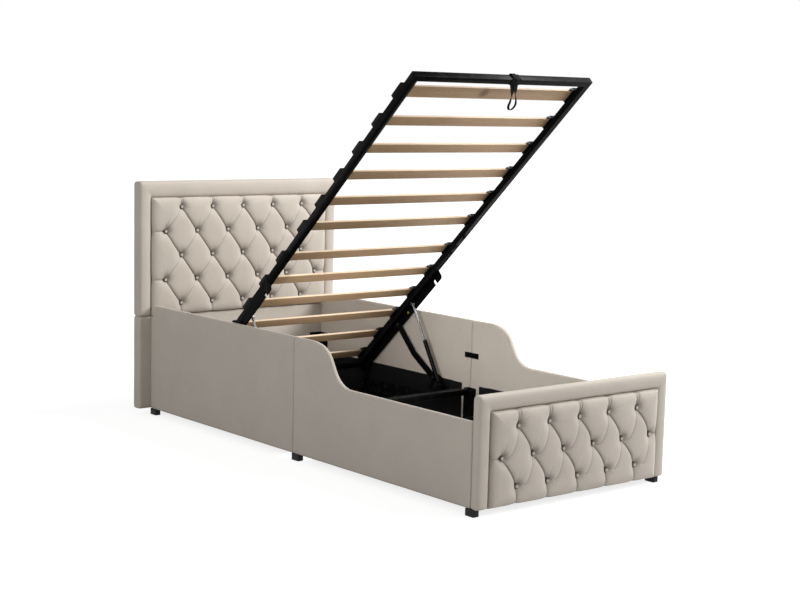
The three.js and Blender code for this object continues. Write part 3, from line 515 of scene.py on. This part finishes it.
def tuft_field(pad, x, z):
    """How far the cloth stands proud of the border's front, and the painted shade in its fold lines, tucks,
    gathers and button pits.
    """
    drop = pad.first_row - z
    last = (pad.rows - 1) * pad.row
    u = np.clip(x / pad.pitch, -2.5, 2.5)
    v = np.clip(drop, 0, last) / (2 * pad.row)
    outside = np.clip(np.maximum(np.abs(x) / pad.pitch - 2.5, 0) * pad.pitch
                      + np.maximum(-drop, 0) + np.maximum(drop - last, 0), 0, 60)
    along, across = u + v, u - v
    _, part_a = folded(along)
    _, part_c = folded(across)
    across_bent = across - pad.strong(u) * ridge(part_a, 1.35)
    along_bent = along - pad.weak(u) * ridge(part_c, 0.62)
    near_c, part_c = folded(across_bent)
    near_a, part_a = folded(along_bent)
    d_strong = near_c / pad.rate
    d_weak = near_a / pad.rate
    inside = np.exp(-outside / 5) * np.where(part_c < 0.5, np.clip(drop / 26, 0, 1), 1)
    above = np.clip((part_c - 0.36) / 0.28, 0, 1)
    fade = 1 - 0.25 * outside / 60
    level = d_strong - d_strong ** 4 / (4 * (0.5 / pad.rate) ** 3)
    broad = above * np.exp(-level / 11) + (1 - above) * np.exp(-level / 20)
    height = 22 - fade * (7.4 * broad + 5.2 * np.exp(-d_strong / 2.8))
    start = np.exp(-part_c / 0.3)
    height -= inside * ((1.8 + 4.4 * start) * np.exp(-d_weak / 15)
                        + (1.2 + 1.6 * start) * np.exp(-d_weak / 2.6))
    # Painted shade along the deep fold lines, a faint broad painted shade beside them, and painted shade
    # along the lighter fold lines.
    shade = np.exp(-((d_strong / 1.7) ** 2)) * np.where(outside < 1, 1, 0.5)
    shade = np.maximum(shade, 0.16 * np.exp(-d_strong / 8))
    shade = np.maximum(shade, inside * (pad.line + 0.45 * start) * np.exp(-((d_weak / 1.7) ** 2)))
    rise = np.clip(-drop, 0, 60)
    tuck = np.abs(folded(u)[1] * pad.pitch - 3 - 0.2 * rise) + 40 * (drop > -1) + 40 * (u > 2.4)
    height -= 2.6 * np.exp(-tuck / 3.2)
    # Painted shade in the tucks that run up from the top row of buttons.
    shade = np.maximum(shade, 0.6 * np.exp(-((tuck / 1.8) ** 2)))
    rng = np.random.default_rng(pad.seed)
    for bx, bz in pad.buttons():
        dx, dz = x - bx, z - bz
        r = np.hypot(dx, dz)
        height -= 8.0 * np.exp(-((r / 27) ** 2)) + 2.4 * np.exp(-r / 9)
        angle = np.arctan2(dz, dx)
        rays = rng.integers(13, 18)
        turn = rng.uniform(0, 2 * math.pi)
        upward = np.clip(np.cos(angle - 1.0 - rng.uniform(-0.25, 0.25)), 0, 1) ** 0.7
        fold = np.abs(np.cos(0.5 * (rays * angle + turn + 0.02 * r))) ** 7
        length = np.exp(-np.clip(r - 14, 0, 90) / (13 + 7 * np.cos(3 * angle + turn))) * (r > 9)
        reach = length * (0.1 + 0.9 * upward)
        height -= pad.gather * reach * fold
        # Painted shade in the gathered folds round each button.
        shade = np.maximum(shade, 0.17 * pad.gather * reach * fold)
        # Painted shade on each pit's wall up and to the right of the button, the side turned away from the
        # light.
        pit_wall_shade = np.exp(-(((r - 16) / 13) ** 2)) * np.clip(np.cos(angle - 0.6), 0, 1) ** 1.5
        shade = np.maximum(shade, 0.42 * pit_wall_shade)
        # Painted shade in a ring round each button's seat.
        shade = np.maximum(shade, 0.95 * np.exp(-(((r - 8.5) / 3.4) ** 2)))
    height += 0.5 * wobble(np.stack([x.ravel(), z.ravel(), 0 * x.ravel()], 1), 90, pad.seed).reshape(x.shape)
    rim = np.minimum(np.minimum(pad.half - np.abs(x), pad.top - z), z - pad.bottom)
    height *= 1 - 0.72 * np.exp(-rim / 16)
    return height, shade


def pad_mesh(pad, step):
    """The pad's front with rolled edges, and a skirt that reaches back to the board."""
    columns = int(round(2 * pad.half / step)) + 1
    lines = int(round((pad.top - pad.bottom) / step)) + 1
    x, z = np.meshgrid(np.linspace(-pad.half, pad.half, columns), np.linspace(pad.bottom, pad.top, lines))
    height, shade = tuft_field(pad, x, z)
    edge_x = pad.half - np.abs(x)
    edge_top = pad.top - z
    edge_low = z - pad.bottom
    v = np.clip(pad.first_row - z, 0, (pad.rows - 1) * pad.row) / (2 * pad.row)
    u = np.clip(x / pad.pitch, -2.5, 2.5)
    drawn_side = 5.0 * np.exp(-((np.abs(folded(v + 0.5)[0]) / 0.12) ** 2)) * (pad.half - edge_x > 0)
    drawn_top = 3.5 * np.exp(-((folded(u)[0] / 0.1) ** 2)) * (np.abs(u) < 2.49)
    roll = np.minimum(np.minimum(edge_x, edge_top), edge_low)
    share = np.clip(roll / 7, 0, 1)
    curve = np.sqrt(1 - (1 - share) ** 2)
    depth = 4 - (4 + height) * curve
    shift_x = -np.sign(x) * drawn_side * np.exp(-edge_x / 26)
    shift_z = -drawn_top * np.exp(-edge_top / 24) + 0.6 * drawn_top * np.exp(-edge_low / 24)
    points = np.stack([x + shift_x, pad.front + depth, z + shift_z], -1).reshape(-1, 3)
    # The painted shade fades out over the rolled edge.
    shade = shade * np.clip(roll / 6, 0, 1)
    index = np.arange(lines * columns).reshape(lines, columns)
    quads = np.stack([index[:-1, :-1], index[:-1, 1:], index[1:, 1:], index[1:, :-1]], -1).reshape(-1, 4)
    rim = np.concatenate([index[0, :], index[1:, -1], index[-1, -2::-1], index[-2:0:-1, 0]])
    skirt = points[rim].copy()
    skirt[:, 1] = pad.front + 13.4
    start = len(points)
    ring = np.arange(len(rim))
    following = (ring + 1) % len(rim)
    walls = np.stack([rim[ring], start + ring, start + following, rim[following]], -1)
    points = np.concatenate([points, skirt])
    points[:, 1] -= MIDDLE * MM
    mesh = mesh_from(pad.name, points / MM, np.concatenate([quads, walls]).tolist())
    layer = mesh.attributes.new("crease", "FLOAT", "POINT")
    # The skirt gets painted shade where it sits in the gap between pad and border.
    layer.data.foreach_set("value", np.concatenate([shade.ravel(), np.full(len(rim), 0.6)]))
    return mesh


def button_mesh(name):
    """A cloth covered button: a low dome with painted shade on its rim where it tucks into the pit, in
    millimetres about its seat.
    """
    # The third value of each ring is its painted shade, light on the dome and dark at the rim.
    profile = ((0, 4.4, 0.12), (2.8, 4.3, 0.12), (4.8, 4.0, 0.15), (6.3, 3.4, 0.55), (7.7, 2.5, 0.9),
               (9.2, 1.0, 1), (9.9, -0.8, 1), (9.3, -5, 1))
    sides = 28
    points, shades = [(0, -profile[0][1], 0)], [0.0]
    for radius, height, shade in profile[1:]:
        for i in range(sides):
            angle = 2 * math.pi * i / sides
            points.append((radius * math.cos(angle), -height, radius * math.sin(angle)))
            shades.append(shade)
    faces = [(0, 1 + (i + 1) % sides, 1 + i) for i in range(sides)]
    for ring in range(len(profile) - 2):
        low = 1 + ring * sides
        for i in range(sides):
            j = (i + 1) % sides
            faces.append((low + i, low + j, low + sides + j, low + sides + i))
    mesh = mesh_from(name, np.array(points) / MM, faces)
    mesh.attributes.new("crease", "FLOAT", "POINT").data.foreach_set("value", shades)
    return mesh


BUTTON_STAND = 10
BUTTON_LIFT = 7
FINE_STEP = 2.0


def add_pad(pad, node, step):
    """Adds a tufted pad and its buttons."""
    obj = place(pad.name, pad_mesh(pad, step), velvet_tufted, "base", replaces=(node,))
    places = pad.buttons()
    xs = np.array([p[0] for p in places])
    zs = np.array([p[1] for p in places])
    seats, _ = tuft_field(pad, xs, zs)
    for number, (x, z, seat) in enumerate(zip(xs, zs, seats), 1):
        mesh = button_mesh("%s_button_%d" % (pad.name, number))
        y = pad.front - MIDDLE * MM - max(seat + BUTTON_LIFT, BUTTON_STAND)
        mesh.transform(Matrix.Translation((x / MM, y / MM, z / MM)))
        place(mesh.name, mesh, velvet_tufted, "base")


pad_step = FINE_STEP
add_pad(foot_pad, "footboard_tufted_pad", pad_step)
add_pad(head_pad, "headboard_tufted_pad", pad_step)


# Small swept and turned parts

def raised(x, s, n):
    """A point on the raised lift frame, from millimetres across, along and above it."""
    along, over = s / MM, n / MM
    return Vector((x / MM, FRAME_Y + along * math.cos(TILT) + over * math.sin(TILT),
                   FRAME_Z - along * math.sin(TILT) + over * math.cos(TILT)))


def strip(points, sides, widths, thickness, closed=False):
    """A flat band along a path, as points and faces; sides are the directions of its width."""
    count = len(points)
    verts, faces = [], []
    for i, (point, side, width) in enumerate(zip(points, sides, widths)):
        before = points[i - 1] if closed or i else points[0]
        after = points[(i + 1) % count] if closed or i < count - 1 else points[-1]
        tangent = (Vector(after) - Vector(before)).normalized()
        side = (Vector(side) - tangent * tangent.dot(side)).normalized()
        face = tangent.cross(side)
        w, t, c = width / 2, thickness / 2, thickness * 0.4
        for a, b in ((-w, 0), (c - w, t), (w - c, t), (w, 0), (w - c, -t), (c - w, -t)):
            verts.append(Vector(point) + side * a + face * b)
    for i in range(count if closed else count - 1):
        for k in range(6):
            j, m = (i + 1) % count, (k + 1) % 6
            faces.append((6 * i + k, 6 * i + m, 6 * j + m, 6 * j + k))
    if not closed:
        faces.append(tuple(range(5, -1, -1)))
        faces.append(tuple(range(6 * count - 6, 6 * count)))
    return verts, faces


def turned(profile, origin, axis, sides=32, ring=False):
    """A turned form from (height, radius) pairs about an axis; a ring closes on itself."""
    axis = Vector(axis).normalized()
    first = axis.orthogonal().normalized()
    second = axis.cross(first)
    verts, faces = [], []
    for height, radius in profile:
        for k in range(sides):
            angle = 2 * math.pi * k / sides
            out = first * math.cos(angle) + second * math.sin(angle)
            verts.append(Vector(origin) + axis * height / 1000 + out * radius / 1000)
    rows = len(profile)
    for i in range(rows if ring else rows - 1):
        for k in range(sides):
            j, m = (i + 1) % rows, (k + 1) % sides
            faces.append((sides * i + k, sides * i + m, sides * j + m, sides * j + k))
    if not ring:
        faces.append(tuple(range(sides - 1, -1, -1)))
        faces.append(tuple(range(sides * (rows - 1), sides * rows)))
    return verts, faces


def merged(name, parts):
    """One mesh from several sets of points and faces."""
    verts, faces = [], []
    for points, polygons in parts:
        start = len(verts)
        verts.extend(points)
        faces.extend(tuple(start + i for i in polygon) for polygon in polygons)
    mesh = mesh_from(name, verts, faces)
    work = bmesh.new()
    work.from_mesh(mesh)
    bmesh.ops.recalc_face_normals(work, faces=work.faces)
    work.to_mesh(mesh)
    work.free()
    return mesh


def crisp(obj, angle=38):
    """Smooth shading that keeps real corners sharp."""
    obj.data.shade_smooth()
    split = obj.modifiers.new("corners", "EDGE_SPLIT")
    split.split_angle = math.radians(angle)


def smooth_path(knots, steps):
    """A Catmull-Rom curve through points, each with any number of values."""
    knots = np.array(knots, float)
    padded = np.vstack([2 * knots[0] - knots[1], knots, 2 * knots[-1] - knots[-2]])
    rows = []
    for i in range(len(knots) - 1):
        a, b, c, d = padded[i:i + 4]
        for t in np.linspace(0, 1, steps, endpoint=False):
            rows.append(0.5 * (2 * b + (c - a) * t + (2 * a - 5 * b + 4 * c - d) * t ** 2
                               + (3 * b - a - 3 * c + d) * t ** 3))
    rows.append(knots[-1])
    return np.array(rows)


# Pull strap: two bands crossed over the foot bar and one webbing loop that twists edge on at its foot

STRAP_X, BAR_S, BAR_N = 44, -73.5, -12.5


def strap_band(lean, reach):
    """One band of webbing round the square bar, leaning to one side."""
    points, sides = [], []
    for i in range(56):
        angle = 2 * math.pi * i / 56
        c, q = math.cos(angle), math.sin(angle)
        radius = reach / (abs(c) ** 9 + abs(q) ** 9) ** (1 / 9)
        shift = lean * 11 * q
        points.append(raised(STRAP_X + shift, BAR_S + radius * c, BAR_N + radius * q))
        sides.append((1, 0, 0))
    return strip(points, sides, [0.023] * 56, 0.0018, closed=True)


def strap_loop():
    """The hanging loop, with a twist that grows towards its foot."""
    bar = raised(STRAP_X, BAR_S, BAR_N)
    knots = ((-7, 2, 14, 24, 0), (-8, -2, -16, 24, 5), (-12, -3, -44, 19, 35), (-18, -3, -68, 15, 75),
             (-25, -2, -86, 12, 92), (-22, 0, -98, 12, 95), (-12, 1, -101, 12, 92), (3, 2, -93, 12, 88),
             (14, 2, -78, 13, 80), (14, 1, -58, 16, 60), (9, -1, -36, 19, 35), (6, -4, -14, 22, 8),
             (6, -1, 14, 22, 0))
    points, sides, widths = [], [], []
    for x, y, z, width, twist in smooth_path(knots, 6):
        points.append(Vector((bar.x + x / 1000, bar.y - 0.001 + y / 1000, bar.z - 0.0165 + 0.92 * z / 1000)))
        turn = math.radians(twist)
        sides.append((math.cos(turn), math.sin(turn), 0))
        widths.append(width / 1000)
    return strip(points, sides, widths, 0.0019)


strap = place("pull_strap_webbing", merged("pull_strap_webbing", [
    strap_band(1, 14.2), strap_band(-1, 16.2), strap_loop()]), webbing, "lift_frame",
    replaces=("pull_strap",))
crisp(strap, 50)


# Gas struts, turned about their own line

STRUT_X = 0.42
STRUT_FOOT = (0.143, 0.182)
STRUT_LINE = (0, 0.50389678, 0.86376388)
STRUT_REACH = 386.3
EYE = ((-7, 4.3), (-7, 6.6), (-6, 7.8), (6, 7.8), (7, 6.6), (7, 4.3))
for side, sign in SIDES:
    foot = Vector((sign * STRUT_X, *STRUT_FOOT))
    top = foot + Vector(STRUT_LINE) * STRUT_REACH / 1000
    barrel = ((6.6, 0.01), (6.6, 5), (12, 5), (14, 6.4), (17, 8.4), (20, 9), (205, 9), (206.5, 9.5),
              (210, 9.5), (212.5, 9), (214, 7.4), (214, 5), (208, 4.9))
    piece = place("strut_barrel_" + side, merged("strut_barrel_" + side, [
        turned(barrel, foot, STRUT_LINE), turned(EYE, foot, (1, 0, 0), ring=True)]),
        gloss_black, "strut_cylinders", replaces=("gas_strut_cylinder_" + side,))
    crisp(piece)
    shaft = ((198, 0.01), (198, 4.5), (STRUT_REACH - 11.6, 4.5), (STRUT_REACH - 11, 5.8),
             (STRUT_REACH - 8.6, 5.8), (STRUT_REACH - 7.6, 4.4), (STRUT_REACH - 5, 4.4))
    head = tuple((h, min(r, 6.0)) for h, r in EYE)
    piece = place("strut_shaft_" + side, merged("strut_shaft_" + side, [
        turned(shaft, foot, STRUT_LINE), turned(head, top, (1, 0, 0), ring=True)]),
        bright, "strut_rods", replaces=("gas_strut_rod_" + side,))
    crisp(piece)


# Barbed clips of the slat holders, coloured discs on the upper brackets, and bound box edges

SLAT_STARTS = [-7] + [152.5 + 152 * i for i in range(5)] + [951 + 154 * i for i in range(6)]


def barb(x_sign, start):
    """A curved tooth that reaches inboard over the slat's foot side edge."""
    verts, faces = [], []
    rows = ((413, -6, 0, 2, 14), (408, -6, -0.6, 3, 13), (402, -5.4, -1.4, 5, 12), (396, -4.4, -2.6, 7, 11))
    for x, low, high, under, over in rows:
        for s, n in ((low, under), (high, under), (high, over), (low, over)):
            verts.append(raised(x_sign * x, start + s, n))
    for i in range(len(rows) - 1):
        for k in range(4):
            m = (k + 1) % 4
            faces.append((4 * i + k, 4 * i + m, 4 * i + 4 + m, 4 * i + 4 + k))
    faces.extend([(3, 2, 1, 0), tuple(range(4 * len(rows) - 4, 4 * len(rows)))])
    return verts, faces


def pad_block(x_sign, start, width):
    """The holder's stepped inner collar round the slat end."""
    verts, faces = [], []
    outline = ((-3, 1.5), (width + 3, 1.5), (width + 3, 13), (width, 15), (0, 15), (-3, 13))
    for x, grow in ((413.5, 0), (410, 0), (408.5, -1.2)):
        for s, n in outline:
            outwards = math.copysign(1, width / 2 - s)
            verts.append(raised(x_sign * x, s + start - grow * outwards, n + grow * (n > 8)))
    for i in range(2):
        for k in range(6):
            m = (k + 1) % 6
            faces.append((6 * i + k, 6 * i + m, 6 * i + 6 + m, 6 * i + 6 + k))
    faces.extend([tuple(range(5, -1, -1)), tuple(range(12, 18))])
    return verts, faces


for side, sign in SIDES:
    teeth = []
    for number, start in enumerate(SLAT_STARTS):
        teeth.append(barb(sign, start))
        teeth.append(pad_block(sign, start, 56 if number == 0 else 48))
    crisp(place("slat_clips_" + side, merged("slat_clips_" + side, teeth), plastic,
                "lift_frame"))
    cap = ((0, 0.01), (0, 5.8), (0.7, 5.8), (1.2, 5.2), (1.4, 3.0), (1.4, 0.01))
    crisp(place("bracket_cap_" + side, merged("bracket_cap_" + side, [
        turned(cap, raised(sign * 439.6, 1378, -40), (-sign, 0, 0), sides=20)]),
        cap_yellow, "lift_frame"))


def bound_edge(name, node, seam, wall_top):
    """A folded cloth binding along a box's top edge, down its two open ends and along its low seam wall; its
    pale grey is a painted highlight on those edges.
    """
    low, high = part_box(node)
    x = high.x - 0.0009
    far, near = (low.y, high.y) if seam > 0 else (high.y, low.y)
    near -= seam * 0.0009
    far += seam * 0.0009
    drop = high.z - wall_top
    knots = [(-x, near, wall_top), (-x, near, high.z), (-x, far, high.z), (x, far, high.z), (x, near, high.z),
             (x, near, wall_top)]
    points, sides = [], []
    for i, knot in enumerate(knots):
        following = Vector(knots[(i + 1) % len(knots)])
        run = following - Vector(knot)
        steps = max(3, int(run.length / 0.06))
        for t in np.linspace(0, 1, steps, endpoint=False):
            t = min(max(t, 0.003 / run.length), 1 - 0.003 / run.length)
            point = Vector(knot) + run * t
            sag = 4 * t * (1 - t) if i == len(knots) - 1 else 0
            points.append(point - Vector((0, 0, min(0.011, 0.2 * drop) * sag)))
            sides.append((1, 0, 0) if abs(run.y) > 0.01 else (0, 1, 0))
    piece = place(name, merged(name, [strip(points, sides, [0.0042] * len(points), 0.0036, closed=True)]),
                  binding, "base")
    crisp(piece, 60)


bound_edge("box_binding_foot", "storage_box_foot", 1, 0.086)
bound_edge("box_binding_head", "storage_box_head", -1, 0.187)


# Painted steel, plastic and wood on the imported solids

ROUNDED_ABOVE = 35
TUBE_EDGE = 0.0014
CROSS_TUBE_EDGE = 0.0018
SLAT_EDGE = 0.0012
THIN_EDGE = 0.0006
LEG_EDGE = 0.0022
SLAT_COUNT = 12


def eased(node, material, width, segments=2):
    """Gives a solid its material and small rounded edges."""
    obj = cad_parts[node]
    obj.data.materials.clear()
    obj.data.materials.append(material)
    weld = obj.modifiers.new("weld", "WELD")
    weld.merge_threshold = WELD_GAP
    bevel = obj.modifiers.new("bevel", "BEVEL")
    bevel.width = width
    bevel.segments = segments
    bevel.limit_method = "ANGLE"
    bevel.angle_limit = math.radians(ROUNDED_ABOVE)
    bevel.harden_normals = segments == 1
    obj.data.shade_smooth()


for half in ("foot", "head"):
    eased("lift_frame_%s_half" % half, steel, TUBE_EDGE, 1)
    eased("storage_box_" + half, lining, THIN_EDGE, 1)
for number in range(1, SLAT_COUNT + 1):
    eased("slat_%d" % number, wood, SLAT_EDGE)
eased("cross_tube", steel, CROSS_TUBE_EDGE)
for side, _ in SIDES:
    for name in ("centre_post_", "rail_seam_plate_", "headboard_corner_bracket_", "base_bracket_",
                 "upper_bracket_", "front_arm_", "rear_arm_", "frame_joint_sleeve_"):
        eased(name + side, steel, THIN_EDGE)
    for name in ("front_lower_pin_", "rear_lower_pin_", "front_upper_pin_"):
        eased(name + side, dark_zinc, THIN_EDGE)
    for name in ("leg_foot_", "leg_middle_", "leg_head_"):
        eased(name + side, foot_plastic, LEG_EDGE)


# Floor, light and camera

def seen_rays(nodes, links):
    """One for rays from the camera and for rays that a shiny or clear surface sends on."""
    path = nodes.new("ShaderNodeLightPath")
    direct = path.outputs["Is Camera Ray"]
    for ray in ("Is Glossy Ray", "Is Transmission Ray"):
        either = nodes.new("ShaderNodeMath")
        either.operation = "MAXIMUM"
        links.new(direct, either.inputs[0])
        links.new(path.outputs[ray], either.inputs[1])
        direct = either.outputs[0]
    return direct


def add_floor():
    """A white floor that keeps soft shadows and runs into the white background further out."""
    size = 30.0
    mesh = mesh_from("floor", [(-size, -size, 0), (size, -size, 0), (size, size, 0), (-size, size, 0)],
                     [(0, 1, 2, 3)])
    obj = bpy.data.objects.new("floor", mesh)
    bpy.context.scene.collection.objects.link(obj)
    mat = bpy.data.materials.new("floor_white")
    mat.use_nodes = True
    net = Net(mat)
    net.nodes.remove(net.nodes["Principled BSDF"])
    paper = net.nodes.new("ShaderNodeBsdfDiffuse")
    paper.inputs["Color"].default_value = (FLOOR_BOUNCE, FLOOR_BOUNCE, FLOOR_BOUNCE, 1)
    far = net.nodes.new("ShaderNodeVectorMath")
    far.operation = "LENGTH"
    net.links.new(net.coords, far.inputs[0])
    reach = net.remap(far.outputs["Value"], 1.6, 3.2, FLOOR_GLOW, 1.0)
    glow = net.nodes.new("ShaderNodeEmission")
    net.links.new(net.math("MULTIPLY", reach, seen_rays(net.nodes, net.links)), glow.inputs["Strength"])
    both = net.nodes.new("ShaderNodeAddShader")
    net.links.new(paper.outputs[0], both.inputs[0])
    net.links.new(glow.outputs[0], both.inputs[1])
    net.links.new(both.outputs[0], net.nodes["Material Output"].inputs["Surface"])
    mesh.materials.append(mat)


def add_world():
    """A white surround that lights the bed faintly."""
    world = bpy.data.worlds.new("studio")
    bpy.context.scene.world = world
    world.use_nodes = True
    nodes, links = world.node_tree.nodes, world.node_tree.links
    back = nodes["Background"]
    back.inputs["Color"].default_value = (1, 1, 1, 1)
    level = nodes.new("ShaderNodeMapRange")
    links.new(seen_rays(nodes, links), level.inputs["Value"])
    level.inputs["To Min"].default_value = WORLD_LEVEL
    level.inputs["To Max"].default_value = 1.0
    links.new(level.outputs["Result"], back.inputs["Strength"])


def add_lamp(name, place_at, aim, size, power, spread=180):
    """A soft rectangular lamp aimed at a point."""
    lamp = bpy.data.lights.new(name, "AREA")
    lamp.shape = "RECTANGLE"
    lamp.size, lamp.size_y = size
    lamp.energy = power
    lamp.spread = math.radians(spread)
    obj = bpy.data.objects.new(name, lamp)
    obj.visible_camera = False
    obj.location = place_at
    direction = Vector(aim) - Vector(place_at)
    obj.rotation_euler = direction.to_track_quat("-Z", "Y").to_euler()
    bpy.context.scene.collection.objects.link(obj)


def add_camera():
    """The camera, from its place, its angles and its centre in the picture."""
    yaw, pitch, roll = (math.radians(a) for a in CAMERA_ANGLES)
    look = Vector((math.sin(yaw) * math.cos(pitch), math.cos(yaw) * math.cos(pitch), -math.sin(pitch)))
    right = Vector((math.cos(yaw), -math.sin(yaw), 0))
    up = right.cross(look)
    basis = Matrix((right, up, -look)).transposed().to_4x4() @ Matrix.Rotation(roll, 4, "Z")
    camera = bpy.data.cameras.new("camera")
    camera.sensor_fit = "HORIZONTAL"
    camera.sensor_width = 36.0
    camera.lens = FOCAL_PIXELS * 36.0 / 800
    camera.shift_x = (400 - CENTRE_PIXEL[0]) / 800
    camera.shift_y = (CENTRE_PIXEL[1] - 300) / 800
    camera.clip_end = 100
    obj = bpy.data.objects.new("camera", camera)
    obj.matrix_world = Matrix.Translation(CAMERA_PLACE) @ basis
    bpy.context.scene.collection.objects.link(obj)
    bpy.context.scene.camera = obj


WORLD_LEVEL = 0.27
FLOOR_BOUNCE = 0.5
FLOOR_GLOW = 0.8
CAMERA_PLACE = (-4.038, -4.9817, 1.4065)
CAMERA_ANGLES = (39.704, 7.997, 1.441)
FOCAL_PIXELS = 1605.8
CENTRE_PIXEL = (404.86, 322.63)

add_floor()
add_world()
add_lamp("key", (5.4, -6.2, 4.6), (0, -0.3, 0.5), (2.4, 2.2), 415)
add_lamp("head", (2.6, -1.3, 3.0), (-0.1, 1.0, 0.6), (1.3, 1.0), 58)
add_lamp("top", (3.2, -0.8, 4.9), (0, -0.2, 0.6), (1.9, 1.9), 145)
add_lamp("fill", (-5.6, -0.6, 2.8), (0.2, -0.2, 0.4), (3.0, 2.4), 82)
add_lamp("inside", (-0.34, -0.3, 0.62), (0.45, -0.3, 0.36), (1.2, 0.25), 1.3, 90)
add_lamp("under", (-0.1, -0.15, 0.36), (0.05, 0.8, 0.56), (0.36, 0.36), 0.55, 120)
add_camera()

scene = bpy.context.scene
scene.view_settings.view_transform = "Standard"
